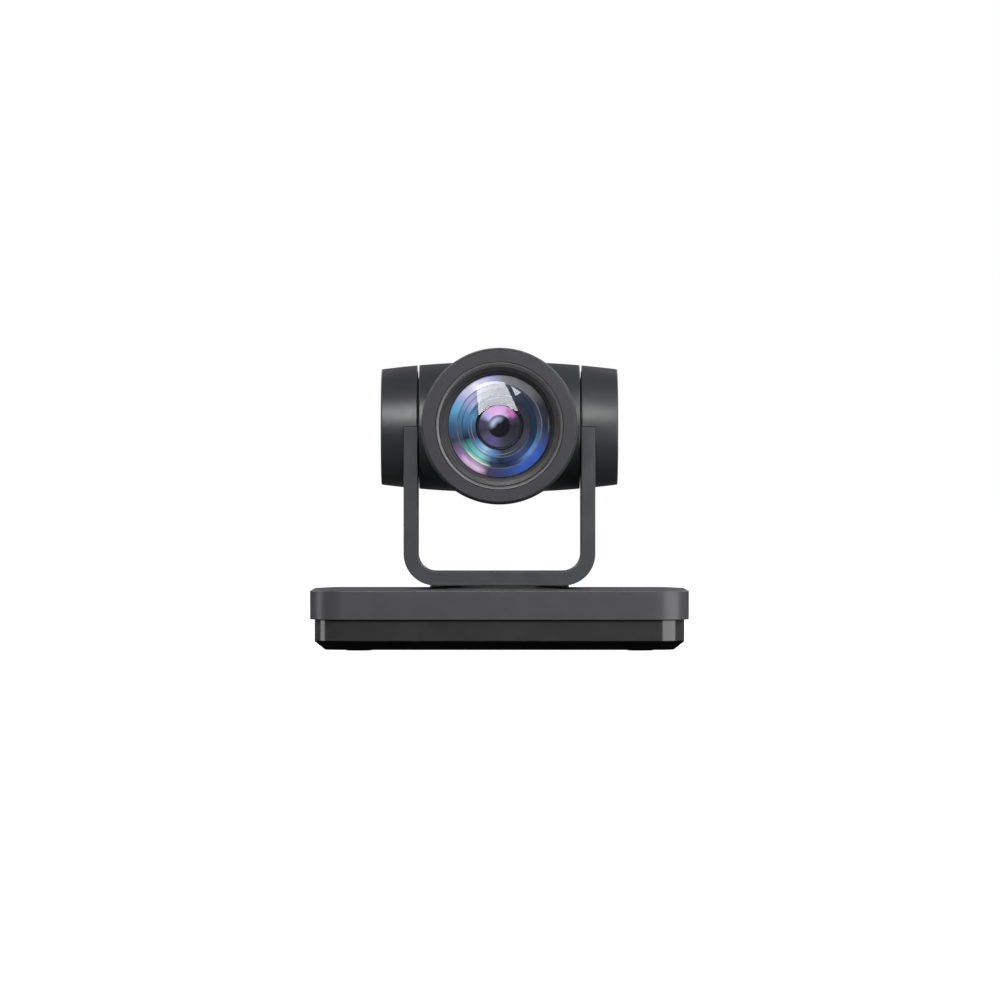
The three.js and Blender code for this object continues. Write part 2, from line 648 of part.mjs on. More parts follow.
/** The two shells over the arms' round ends, and the round covers that close them. */
function buildEndHousings() {
  const { inner, outer, wall } = HOUSING;
  const outside = drumProfile(inner, outer - 1, 0, 2);
  const rim = [[drumRadius(outer) - 1, outer], [END_COVER.radius + GAP, outer]];
  const inside = [
    [END_COVER.radius + GAP, END_COVER.inner - GAP],
    [END_COVER.radius - 0.9, END_COVER.inner - GAP],
    [END_COVER.radius - 0.9, END_COVER.inner - 1.7],
    [drumRadius(outer) - wall - 1, END_COVER.inner - 1.7],
    [drumRadius(YOKE.halfWidth) - wall, YOKE.halfWidth + GAP],
    [ARM_END_RADIUS + GAP, YOKE.halfWidth + GAP],
    [ARM_END_RADIUS + GAP, inner],
  ];
  const shell = turned('x', [...outside, ...rim, ...inside], FINE, [0, 0, AXIS_Z]);
  const armSpace = box([inner - 1, YOKE.halfWidth + GAP], [-40, 40], [AXIS_Z - 40, AXIS_Z]);
  const right = cut(shell, armSpace);
  piece('right_end_housing', right, HEAD_SHELL);
  piece('left_end_housing', mirrored(right), HEAD_SHELL);

  const disc = [
    [0, END_COVER.inner],
    [END_COVER.radius, END_COVER.inner],
    [END_COVER.radius, END_COVER.outer - 0.5],
    [END_COVER.radius - 0.5, END_COVER.outer],
    [0, END_COVER.outer],
  ];
  const cover = turned('x', disc, FINE, [0, 0, AXIS_Z]);
  piece('right_end_cover', cover, HEAD_SHELL);
  piece('left_end_cover', mirrored(cover), HEAD_SHELL);
}

/** The height of the tilt pinion's axis, straight below the tilt axis. */
function tiltPinionZ() {
  return AXIS_Z - ((TILT_GEAR.teeth + TILT_PINION_TEETH) * TILT_GEAR.module) / 2;
}

/** Bearings, motor, gears and home sensor of the tilt drive. */
function buildTiltDrive() {
  const { outer, inner, from, to } = TILT_BEARING;
  const bearing = tube('x', outer, inner, [from, to], [0, 0, AXIS_Z]);
  piece('tilt_bearing_right', bearing, STEEL);
  piece('tilt_bearing_left', mirrored(bearing), STEEL);

  const motorAt = [0, 0, tiltPinionZ()];
  const motor = join(
    rod('x', TILT_MOTOR.radius, [TILT_MOTOR.from, TILT_MOTOR.to], motorAt),
    box([54.2, 55.4], [-12, 12], [tiltPinionZ() - 3.5, tiltPinionZ() + 3.5]),
  );
  piece('tilt_motor', motor, STEEL);

  const { teeth, module } = TILT_GEAR;
  const backlash = 0.25;
  const width = TILT_GEAR.to - TILT_GEAR.from;
  const facing = (shape, z) =>
    raised(shape, [0, width])
      .rotate([0, 90, 0])
      .translate([TILT_GEAR.from, 0, z]);
  const wheel = facing(gearShape(teeth, module, backlash), AXIS_Z);
  const bore = rod('x', HUB.shaft + GAP, [TILT_GEAR.from - 1, TILT_GEAR.to + 1], [0, 0, AXIS_Z]);
  piece('tilt_gear', cut(wheel, bore), WHITE_GEAR);

  // Facing +X, the shape's own X axis points down, so tooth 0 of the gear meets a space of the pinion.
  const phase = Math.PI + Math.PI / TILT_PINION_TEETH;
  const pinion = facing(gearShape(TILT_PINION_TEETH, module, backlash, phase), tiltPinionZ());
  const stub = rod('x', 1.2, [TILT_MOTOR.to + GAP, TILT_GEAR.from + 1], motorAt, 12);
  piece('tilt_pinion', join(pinion, stub), BRASS);

  const board = box([-58.4, -57], [-13, 13], [AXIS_Z - 26, AXIS_Z - 13]);
  const chip = box([-60, -57.6], [-3, 3], [AXIS_Z - 22, AXIS_Z - 16]);
  piece('tilt_sensor', join(board, chip), BOARD_GREEN);
}

// ------------------------------------------------------------------------------------------------ head

/** The head's form, moved inwards by an offset: the bulging drum and the round can that crosses it. */
function headForm(offset, segments) {
  const half = DRUM_HALF + (offset ? offset - 0.4 : 0);
  const drum = turned('x', [[0, -half], ...drumProfile(-half, half, offset, 6), [0, half]], segments);
  const { frontY, frontRadius, rearY } = CAN;
  const rear = rearY + offset;
  const front = offset ? frontY - 1 : frontY;
  const cornerRadius = 12;
  const rearRadius = 37 + offset;
  const corner = [0, 1, 2, 3].map((i) => {
    const angle = (i * Math.PI) / 6;
    return [
      rearRadius - cornerRadius * (1 - Math.cos(angle)),
      rear - cornerRadius * (1 - Math.sin(angle)),
    ];
  });
  const profile = [
    [0, front],
    [frontRadius + offset, front],
    [frontRadius + offset, frontY + 8],
    [41.4 + offset, -20],
    [39.4 + offset, 6],
    ...corner,
    [0, rear],
  ];
  return join(drum, turned('y', profile, segments)).translate([0, 0, AXIS_Z]);
}

/** The upper and lower shells of the head, which meet at the height of the tilt axis. */
function buildHeadShells() {
  const hubHole = rod('x', HUB.boss + GAP, [-60, 60], [0, 0, AXIS_Z]);
  const recess = [-1, 1].map((side) => {
    const span = sideSpan(side, DRUM_HALF - COLLAR.recess, DRUM_HALF + 1);
    return rod('x', COLLAR.radius + GAP, span, [0, 0, AXIS_Z], FINE);
  });
  const vents = [-2, -1, 0, 1, 2].map((row) =>
    box([-14, 14], [CAN.rearY - 4, CAN.rearY + 4], [AXIS_Z + row * 6.4 - 1.2, AXIS_Z + row * 6.4 + 1.2]),
  );
  const shell = cut(headForm(0, FINE), headForm(-CAN.wall, ROUND), hubHole, ...recess, ...vents);
  const above = box([-80, 80], [-80, 80], [AXIS_Z + GAP / 2, AXIS_Z + 80]);
  const below = box([-80, 80], [-80, 80], [AXIS_Z - 80, AXIS_Z - GAP / 2]);
  piece('head_top_shell', shell.intersect(above), HEAD_SHELL);
  piece('head_bottom_shell', shell.intersect(below), HEAD_SHELL);
}

/** The wide front ring, the bright trim ring inside it, and the stepped baffle round the glass. */
function buildFrontRings() {
  const at = [0, 0, AXIS_Z];
  const { front, back, radius, faceInner } = BEZEL;
  const bezel = [
    [faceInner, front],
    [radius - 0.8, front],
    [radius, front + 0.8],
    [radius, back],
    [31.5, back],
    [31.5, back - 1.4],
    [faceInner, back - 1.4],
  ];
  piece('front_bezel', turned('y', bezel, FINE, at), BEZEL_GREY);

  const trim = [
    [33.6, front + 1.2],
    [34, front + 0.6],
    [35.2, front + 0.6],
    [35.2, back - 1.8],
    [33.6, back - 1.8],
  ];
  piece('trim_ring', turned('y', trim, FINE, at), ALUMINIUM);

  const baffle = [
    [33.3, front + 1.2],
    [33.3, back - 1.8],
    [28.7, back - 1.8],
    [28.7, front + 4.4],
    [30.2, front + 3.4],
    [30.8, front + 2.8],
    [31.6, front + 2.8],
    [31.6, front + 1.2],
  ];
  piece('lens_baffle', turned('y', baffle, FINE, at), BLACK_PLASTIC);
}

/** The domed front element. */
function buildFrontGlass() {
  const { radius, edgeY, sag, rearY } = GLASS;
  const steps = 8;
  const dome = Array.from({ length: steps + 1 }, (_, i) => {
    const r = (radius * i) / steps;
    return [r, edgeY - sag * (1 - (r / radius) ** 2)];
  });
  const profile = [...dome, [radius, rearY], [0, rearY]];
  piece('front_glass', turned('y', profile, ROUND, [0, 0, AXIS_Z]), GLASS_COATED);
}

// The guide rods and screws run along the lens, at this distance from its axis.
const RODS = { radius: 1, at: 14.6 };
const DIAGONAL = Math.PI / 4;
const ZOOM = { angle: DIAGONAL, radius: 12.6, from: -42, to: -36, screw: [-46, -14.5], motor: [-14.2, -9.3] };
const FOCUS = { angle: -DIAGONAL, radius: 12, from: -3, to: 2, screw: [-12, 13.4], motor: [-17.2, -12.3] };
const FILTER = { left: -21.6, right: 7, front: 16.4, rear: 17.8, halfHeight: 7.5, travel: 14.4 };

/** A point on the circle of rods and screws, at an angle from +X towards +Z. */
function polar(angle) {
  return [RODS.at * Math.cos(angle), 0, RODS.at * Math.sin(angle)];
}

/** The lens tube behind the front glass. */
function buildLensBarrel() {
  const { rearY } = GLASS;
  const flangeFront = rearY + 0.4;
  const profile = [
    [23.2, flangeFront],
    [31.2, flangeFront],
    [31.2, flangeFront + 2.2],
    [25.4, flangeFront + 4.2],
    [25.4, -9],
    [23.2, -9],
  ];
  piece('lens_barrel', turned('y', profile, ROUND, [0, 0, AXIS_Z]), BLACK_PLASTIC);
}

/** The chassis that holds the barrel, the guide rods, the filter and the hubs. */
function buildLensChassis() {
  const block = box([-23.5, 23.5], [-8.6, 23], [-23.5, 23.5]);
  const axle = box([-37.4, 37.4], [-6, 6], [-8, 8]);
  const slot = box(
    [FILTER.left - GAP, FILTER.right + FILTER.travel + GAP],
    [FILTER.front - GAP, FILTER.rear + GAP],
    [-FILTER.halfHeight - GAP, FILTER.halfHeight + GAP],
  );
  const well = rod('y', 21, [-9, 14]);
  const window = rod('y', 7, [13, 24]);
  const wireHole = rod('x', HUB.bore, [-40, 40], [0, 0, 0], COARSE);
  const guides = [ZOOM, FOCUS].map(({ angle, screw }) =>
    rod('y', RODS.radius, [screw[0], 15], polar(angle + Math.PI), 8),
  );
  const chassis = join(cut(join(block, axle), well, window, slot, wireHole), ...guides);
  piece('lens_chassis', chassis.translate([0, 0, AXIS_Z]), BLACK_PLASTIC);
}

/** The image sensor's board, and the heat sink behind it. */
function buildSensor() {
  const at = [0, 0, AXIS_Z];
  const board = box([-19, 19], [24.3, 25.9], [-19, 19]);
  const sensor = box([-5, 5], [23.4, 24.5], [-4, 4]);
  piece('sensor_board', join(board, sensor).translate(at), BOARD_GREEN);

  const plate = box([-16, 16], [26.2, 28], [-15, 15]);
  const fins = [-3, -2, -1, 0, 1, 2, 3].map((fin) => {
    const x = fin * 4.6;
    return box([x - 0.7, x + 0.7], [27.5, 34], [-15, 15]);
  });
  piece('heat_sink', join(plate, ...fins).translate(at), ALUMINIUM);
}

/** A sliding lens in its cell, with one ear round its screw and one round its guide rod. */
function lensCell({ radius, from, to, angle }) {
  const bulge = 1.2;
  const front = [[0, from - bulge], [radius * 0.6, from - bulge / 2], [radius, from]];
  const lens = turned('y', [...front, [radius, to], [0, to]]);
  const ears = [angle, angle + Math.PI].map((turn) => {
    const ear = box([0, RODS.at + 2.6], [from + 0.6, to - 0.6], [-2.6, 2.6]);
    return ear.rotate([0, (-turn * 180) / Math.PI, 0]);
  });
  const holes = [angle, angle + Math.PI].map((turn) =>
    rod('y', RODS.radius + GAP, [from - 1, to + 1], polar(turn), 12),
  );
  return cut(join(lens, ...ears), ...holes).translate([0, 0, AXIS_Z]);
}

/** A small motor at the end of a screw, with the bracket that fixes it to the lens tube. */
function lensMotor({ angle, motor }) {
  const can = rod('y', 3.5, motor, [RODS.at, 0, 0], COARSE);
  const bracket = box([RODS.at, 22.4], [motor[0] + 1, motor[1] - 1], [-2, 2]);
  const turn = (-angle * 180) / Math.PI;
  return join(can, bracket).rotate([0, turn, 0]).translate([0, 0, AXIS_Z]);
}

/** The sliding zoom and focus groups with their screws and motors, and the infrared filter. */
function buildMovingOptics() {
  Object.entries({ zoom: ZOOM, focus: FOCUS }).forEach(([name, group]) => {
    const [x, , z] = polar(group.angle);
    piece(`${name}_group`, lensCell(group), GLASS_COATED);
    piece(`${name}_screw`, rod('y', RODS.radius, group.screw, [x, 0, z + AXIS_Z], 8), STEEL);
    piece(`${name}_motor`, lensMotor(group), STEEL);
  });

  const { left, right, front, rear, halfHeight } = FILTER;
  const filter = box([left, right], [front, rear], [-halfHeight, halfHeight]);
  piece('ir_cut_filter', filter.translate([0, 0, AXIS_Z]), GLASS_COATED);
}

/** The two hubs that turn the head, each with the collar seen in the slot beside the drum. */
function buildHubs() {
  const collarInner = DRUM_HALF - COLLAR.recess + GAP;
  const profile = [
    [HUB.bore, HUB.inner],
    [HUB.boss, HUB.inner],
    [HUB.boss, collarInner],
    [COLLAR.radius, collarInner],
    [COLLAR.radius, COLLAR.outer],
    [HUB.shaft, COLLAR.outer],
    [HUB.shaft, HUB.end],
    [HUB.bore, HUB.end],
  ];
  const hub = turned('x', profile, ROUND, [0, 0, AXIS_Z]);
  piece('tilt_hub_right', hub, ALUMINIUM);
  piece('tilt_hub_left', mirrored(hub), ALUMINIUM);
}

// -------------------------------------------------------------------------------------------- assembly

buildTray();
buildFeet();
buildTripodInsert();
buildBand();
buildCover();
buildRearPanel();
buildSockets();
buildMainBoard();
buildReceiver();
buildPanPlate();
buildPanBearing();
buildPanMotor();
buildPanGears();
buildPanSensor();
buildTurntable();
buildPanShaft();
buildYoke();
buildLiner();
buildRibbon();
buildEndHousings();
buildTiltDrive();
buildHeadShells();
buildFrontRings();
buildFrontGlass();
buildLensBarrel();
buildLensChassis();
buildSensor();
buildMovingOptics();
buildHubs();

export default camera;
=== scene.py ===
"""Looks of a desktop pan, tilt and zoom conference camera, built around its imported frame.

The sizes in the classes are millimetres and the meshes are metres. The lens looks along -Y, +Z is up, and +X
is to the right of someone who faces the lens. Places come from the boxes of the frame's nodes.
"""

import logging
import math
from collections.abc import Callable, Iterator, Sequence
from contextlib import contextmanager
from dataclasses import dataclass, field
from enum import Enum

import bmesh
import bpy
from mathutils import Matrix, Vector


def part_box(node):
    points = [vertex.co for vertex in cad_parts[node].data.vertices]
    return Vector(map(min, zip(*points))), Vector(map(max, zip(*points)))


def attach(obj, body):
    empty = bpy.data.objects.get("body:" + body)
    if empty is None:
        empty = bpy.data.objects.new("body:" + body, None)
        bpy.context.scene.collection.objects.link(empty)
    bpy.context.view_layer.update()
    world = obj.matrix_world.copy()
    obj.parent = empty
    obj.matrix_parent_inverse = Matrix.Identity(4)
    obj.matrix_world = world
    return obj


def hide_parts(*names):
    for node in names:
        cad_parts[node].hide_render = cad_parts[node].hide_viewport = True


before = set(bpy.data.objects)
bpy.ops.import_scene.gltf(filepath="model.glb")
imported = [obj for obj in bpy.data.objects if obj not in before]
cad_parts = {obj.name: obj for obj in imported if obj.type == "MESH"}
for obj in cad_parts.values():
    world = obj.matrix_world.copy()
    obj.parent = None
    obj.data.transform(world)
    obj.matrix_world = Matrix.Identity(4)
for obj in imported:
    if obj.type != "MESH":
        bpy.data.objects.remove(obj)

MM = 0.001
PARALLEL = 0.999  # least cosine of the angle between two ways that count as the same
SAME_PLACE = 1e-6  # metres
MERGE_REACH = 2e-6  # metres
NOISE_RANGE = (0.3, 0.7)  # where nearly all of a noise pattern's values lie
log = logging.getLogger("camera")

Colour = tuple[float, float, float]
Place = tuple[float, float, float]
ProfilePoint = tuple[float, ...]


# ---------------------------------------------------------------------- modelling


class Axis(Enum):
    """An axis that a round piece is turned about."""

    X = 0
    Y = 1
    Z = 2

    def vector(self) -> Vector:
        """Return the axis as a unit vector."""
        return Vector([1.0 if i == self.value else 0.0 for i in range(3)])

    def spot(self, radius: float, along: float, at: Place = (0.0, 0.0, 0.0)) -> Vector:
        """Return a point at a radius from the axis and a place along it.

        Args:
            radius: Distance from the axis, in millimetres.
            along: Place along the axis, in millimetres.
            at: A point that the axis passes through, in millimetres.

        Returns:
            The point, in metres.
        """
        point = Vector(at)
        point[self.value] = along
        point[0 if self is not Axis.X else 1] += radius
        return point * MM


class Pick(Enum):
    """What a selection in edit mode is made of."""

    EDGE = "EDGE"
    FACE = "FACE"


def span(node: str) -> tuple[Vector, Vector]:
    """Return a node's lowest and highest corner.

    Args:
        node: Name of the node in the frame.

    Returns:
        Both corners, in millimetres.
    """
    low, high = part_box(node)
    return low / MM, high / MM


def middle_of(node: str) -> Place:
    """Return the middle of a node's box, in millimetres."""
    low, high = span(node)
    return tuple((low + high) / 2)


def facing(x: float, y: float, z: float) -> Callable[[bmesh.types.BMFace], bool]:
    """Return a test for faces that look along a unit vector."""
    return lambda face: face.normal.dot(Vector((x, y, z))) > PARALLEL


def edges_along(axis: Axis) -> Callable[[bmesh.types.BMEdge], bool]:
    """Return a test for edges that run along an axis."""
    way = axis.vector()
    return lambda edge: abs((edge.verts[1].co - edge.verts[0].co).normalized().dot(way)) > PARALLEL


def edges_at(axis: Axis, place: float) -> Callable[[bmesh.types.BMEdge], bool]:
    """Return a test for edges that lie in a plane across an axis, at a place in millimetres."""
    return lambda edge: all(abs(vert.co[axis.value] - place * MM) < SAME_PLACE for vert in edge.verts)


def eased(profile: Sequence[ProfilePoint], steps: int = 4) -> list[tuple[float, float]]:
    """Round the corners of a profile.

    Args:
        profile: Points as radius, place and, where the corner is round, the rounding's size.
        steps: Number of points that each round corner gets, less one.

    Returns:
        The profile's points with the round corners drawn out.
    """
    points = [Vector(point[:2]) for point in profile]
    made: list[tuple[float, float]] = []
    for i, point in enumerate(profile):
        here = points[i]
        rounding = point[2] if len(point) > 2 else 0.0
        if not rounding:
            made.append(tuple(here))
            continue
        before = points[i - 1] - here
        after = points[(i + 1) % len(points)] - here
        start = here + before.normalized() * min(rounding, before.length * 0.48)
        end = here + after.normalized() * min(rounding, after.length * 0.48)
        for step in range(steps + 1):
            t = step / steps
            made.append(tuple(start * (1 - t) ** 2 + here * 2 * t * (1 - t) + end * t * t))
    return made


class Workpiece:
    """A mesh on the bench: made from a primitive, shaped with operators, and fitted to the camera."""

    def __init__(self, name: str) -> None:
        """Take the object that an operator has just made, and name it.

        Args:
            name: Name of the piece.
        """
        self.obj = bpy.context.object
        self.obj.name = name
        self.obj.data.name = name

    @classmethod
    def block(cls, name: str, low: Sequence[float], high: Sequence[float]) -> "Workpiece":
        """Make a block between two corners.

        Args:
            name: Name of the piece.
            low: Lowest corner, in millimetres.
            high: Highest corner, in millimetres.

        Returns:
            The block.
        """
        low, high = Vector(low) * MM, Vector(high) * MM
        bpy.ops.object.select_all(action="DESELECT")
        bpy.ops.mesh.primitive_cube_add(size=1, location=(low + high) / 2, scale=high - low)
        made = cls(name)
        bpy.ops.object.transform_apply(location=True, rotation=True, scale=True)
        return made

    @classmethod
    def beam(
        cls, name: str, middle: Sequence[float], half: tuple[float, float], ends: tuple[float, float]
    ) -> "Workpiece":
        """Make a block that runs along Y, the same on both sides of a middle line.

        Args:
            name: Name of the piece.
            middle: A point that its middle line passes through, in millimetres.
            half: Half its width in X and half its height in Z, in millimetres.
            ends: Where it starts and ends along Y, in millimetres.

        Returns:
            The block.
        """
        x, _, z = middle
        return cls.block(name, (x - half[0], ends[0], z - half[1]), (x + half[0], ends[1], z + half[1]))

    @classmethod
    def slab(
        cls, name: str, low: Sequence[float], high: Sequence[float], corner: float, segments: int = 16
    ) -> "Workpiece":
        """Make a block with round upright corners.

        Args:
            name: Name of the piece.
            low: Lowest corner, in millimetres.
            high: Highest corner, in millimetres.
            corner: Radius of the upright corners, in millimetres.
            segments: Number of faces round each corner.

        Returns:
            The slab.
        """
        made = cls.block(name, low, high)
        made.bevel(edges_along(Axis.Z), corner, segments)
        return made

    @classmethod
    def bar(
        cls,
        name: str,
        axis: Axis,
        radius: float,
        ends: tuple[float, float],
        at: Place = (0.0, 0.0, 0.0),
        segments: int = 64,
    ) -> "Workpiece":
        """Make a round bar.

        Args:
            name: Name of the piece.
            axis: The way that the bar runs.
            radius: Its radius, in millimetres.
            ends: Where it starts and ends along the axis, in millimetres.
            at: A point that its middle line passes through, in millimetres.
            segments: Number of faces round it.

        Returns:
            The bar.
        """
        turn = {Axis.X: (0, math.pi / 2, 0), Axis.Y: (math.pi / 2, 0, 0), Axis.Z: (0, 0, 0)}[axis]
        bpy.ops.object.select_all(action="DESELECT")
        bpy.ops.mesh.primitive_cylinder_add(
            vertices=segments,
            radius=radius * MM,
            depth=(ends[1] - ends[0]) * MM,
            location=axis.spot(0, sum(ends) / 2, at),
            rotation=turn,
        )
        made = cls(name)
        bpy.ops.object.transform_apply(location=True, rotation=True, scale=True)
        return made

    @classmethod
    def turned(
        cls,
        name: str,
        axis: Axis,
        profile: Sequence[ProfilePoint],
        at: Place = (0.0, 0.0, 0.0),
        segments: int = 128,
        steps: int = 4,
    ) -> "Workpiece":
        """Turn a piece on the lathe: one point is drawn out along the profile, and the line is spun.

        Args:
            name: Name of the piece.
            axis: Axis that it is turned about.
            profile: Points as radius, place along the axis and, where the corner is round, its rounding.
            at: A point that the axis passes through, in millimetres.
            segments: Number of faces round the axis.
            steps: Number of faces across each round corner.

        Returns:
            The turned piece.
        """
        points = eased(profile, steps)
        if points[0][0] > 0 or points[-1][0] > 0:
            points.append(points[0])
        spots = [axis.spot(radius, along, at) for radius, along in points]
        bpy.ops.object.select_all(action="DESELECT")
        bpy.ops.mesh.primitive_plane_add(size=MM, location=spots[0])
        made = cls(name)
        bpy.ops.object.transform_apply(location=True, rotation=True, scale=True)
        with made.editing():
            bpy.ops.mesh.select_mode(type="VERT")
            bpy.ops.mesh.select_all(action="SELECT")
            bpy.ops.mesh.merge(type="CENTER")
            for start, end in zip(spots, spots[1:]):
                bpy.ops.mesh.extrude_region_move(TRANSFORM_OT_translate={"value": end - start})
            bpy.ops.mesh.select_all(action="SELECT")
            centre = axis.spot(0, 0, at)
            bpy.ops.mesh.spin(
                steps=segments, angle=math.tau, center=centre, axis=axis.vector(), use_auto_merge=False
            )
            bpy.ops.mesh.select_all(action="SELECT")
            bpy.ops.mesh.remove_doubles(threshold=MERGE_REACH)
            bpy.ops.mesh.normals_make_consistent(inside=False)
        return made

    def select(self) -> None:
        """Select this piece alone and make it the active one."""
        bpy.ops.object.select_all(action="DESELECT")
        self.obj.select_set(True)
        bpy.context.view_layer.objects.active = self.obj

    @contextmanager
    def editing(self) -> Iterator[None]:
        """Hold the piece in edit mode.

        Yields:
            Nothing; the piece is in edit mode until the block ends.
        """
        self.select()
        bpy.ops.object.mode_set(mode="EDIT")
        yield
        bpy.ops.object.mode_set(mode="OBJECT")

    def pick(self, kind: Pick, test: Callable[..., bool]) -> None:
        """Select in edit mode what passes a test, and nothing else.

        Args:
            kind: What is picked.
            test: The test of one edge or face.
        """
        bpy.ops.mesh.select_mode(type=kind.value)
        bpy.ops.mesh.select_all(action="DESELECT")
        mesh = bmesh.from_edit_mesh(self.obj.data)
        for item in mesh.edges if kind is Pick.EDGE else mesh.faces:
            if test(item):
                item.select_set(True)
        bmesh.update_edit_mesh(self.obj.data)

    def bevel(self, test: Callable[..., bool], width: float, segments: int = 4) -> "Workpiece":
        """Round the edges that pass a test.

        Args:
            test: The test of one edge.
            width: The rounding's width, in millimetres.
            segments: Number of faces across it.

        Returns:
            This piece.
        """
        with self.editing():
            self.pick(Pick.EDGE, test)
            bpy.ops.mesh.bevel(offset=width * MM, segments=segments, profile=0.5, affect="EDGES")
        return self

    def inset(self, test: Callable[..., bool], thickness: float, depth: float = 0.0) -> "Workpiece":
        """Inset the faces that pass a test, and move the inner part along their normal.

        Args:
            test: The test of one face.
            thickness: The inset's width, in millimetres.
            depth: How far out the inner part moves, in millimetres.

        Returns:
            This piece.
        """
        with self.editing():
            self.pick(Pick.FACE, test)
            bpy.ops.mesh.inset(thickness=thickness * MM, depth=depth * MM)
        return self

    def apply(self, kind: str, **settings: object) -> "Workpiece":
        """Put a modifier on the piece and apply it.

        Args:
            kind: The modifier's type.
            **settings: Its settings.

        Returns:
            This piece.
        """
        self.select()
        modifier = self.obj.modifiers.new(kind.title(), kind)
        for key, value in settings.items():
            setattr(modifier, key, value)
        bpy.ops.object.modifier_apply(modifier=modifier.name)
        return self

    def _combine(self, operation: str, tools: Sequence["Workpiece"]) -> "Workpiece":
        """Combine the piece with others, which are used up.

        Args:
            operation: UNION or DIFFERENCE.
            tools: The other pieces.

        Returns:
            This piece.
        """
        for tool in tools:
            self.apply("BOOLEAN", operation=operation, object=tool.obj, solver="MANIFOLD")
            bpy.data.objects.remove(tool.obj)
        return self

    def cut(self, *tools: "Workpiece") -> "Workpiece":
        """Cut other pieces away from this one."""
        return self._combine("DIFFERENCE", tools)

    def weld(self, *tools: "Workpiece") -> "Workpiece":
        """Weld other pieces to this one."""
        return self._combine("UNION", tools)

    def ease(self, width: float, segments: int = 2, angle: float = 35.0) -> "Workpiece":
        """Round every edge that is sharper than an angle.

        Args:
            width: The rounding's width, in millimetres.
            segments: Number of faces across it.
            angle: The angle, in degrees.

        Returns:
            This piece.
        """
        settings = {"limit_method": "ANGLE", "angle_limit": math.radians(angle), "miter_outer": "MITER_ARC"}
        return self.apply("BEVEL", width=width * MM, segments=segments, use_clamp_overlap=True, **settings)

    def clean(self) -> "Workpiece":
        """Merge vertices that fall together and turn the faces outwards.

        Returns:
            This piece.
        """
        with self.editing():
            bpy.ops.mesh.select_all(action="SELECT")
            bpy.ops.mesh.remove_doubles(threshold=MERGE_REACH)
            bpy.ops.mesh.dissolve_degenerate(threshold=SAME_PLACE)
            bpy.ops.mesh.select_all(action="SELECT")
            bpy.ops.mesh.normals_make_consistent(inside=False)
        return self

    def copy(self, name: str, move: Place = (0.0, 0.0, 0.0)) -> "Workpiece":
        """Make a copy with its own mesh, and move it.

        Args:
            name: Name of the copy.
            move: How far it moves, in millimetres.

        Returns:
            The copy.
        """
        self.select()
        bpy.ops.object.duplicate(linked=False)
        made = Workpiece(name)
        made.obj.location = Vector(move) * MM
        bpy.ops.object.transform_apply(location=True, rotation=True, scale=True)
        return made

    def mirrored(self, name: str) -> "Workpiece":
        """Make a copy for the other side of the camera.

        Args:
            name: Name of the copy.

        Returns:
            The copy, mirrored in X, with its faces outwards.
        """
        made = self.copy(name)
        made.obj.scale.x = -1
        bpy.ops.object.transform_apply(location=True, rotation=True, scale=True)
        with made.editing():
            bpy.ops.mesh.select_all(action="SELECT")
            bpy.ops.mesh.normals_make_consistent(inside=False)
        return made

    def swing(self, degrees: float, axis: Axis, at: Place) -> "Workpiece":
        """Turn the piece about a line along an axis.

        Args:
            degrees: How far it turns.
            axis: The axis.
            at: A point on the line, in millimetres.

        Returns:
            This piece.
        """
        with self.editing():
            bpy.ops.mesh.select_all(action="SELECT")
            bpy.ops.transform.rotate(
                value=-math.radians(degrees), orient_axis=axis.name, center_override=Vector(at) * MM
            )
        return self

    def paint(self, finish: "Finish", test: Callable[[bpy.types.MeshPolygon], bool]) -> "Workpiece":
        """Give a second finish to the faces that pass a test.

        Args:
            finish: The second finish.
            test: The test of one face.

        Returns:
            This piece.
        """
        if not self.obj.data.materials:
            self.obj.data.materials.append(None)
        self.obj.data.materials.append(finish.material())
        number = len(self.obj.data.materials) - 1
        for polygon in self.obj.data.polygons:
            if test(polygon):
                polygon.material_index = number
        return self

    def fit(self, body: str, slot: str, finish: "Finish", *nodes: str, smooth: float = 34.0) -> "Workpiece":
        """Smooth, dress and fit the piece to the camera.

        Args:
            body: The body that it moves with.
            slot: Name of the material slot; not used.
            finish: Its finish.
            *nodes: Nodes of the frame that it stands for.
            smooth: Faces that meet at less than this angle, in degrees, are shaded as one surface.

        Returns:
            This piece.
        """
        self.select()
        bpy.ops.object.transform_apply(location=True, rotation=True, scale=True)
        bpy.ops.object.shade_smooth_by_angle(angle=math.radians(smooth))
        self.apply("WEIGHTED_NORMAL", keep_sharp=True)
        if self.obj.data.materials:
            self.obj.data.materials[0] = finish.material()
        else:
            self.obj.data.materials.append(finish.material())
        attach(self.obj, body)
        if nodes:
            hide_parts(*nodes)
        log.info("%s: %d faces on %s", self.obj.name, len(self.obj.data.polygons), body)
        return self


# ---------------------------------------------------------------------- finishes


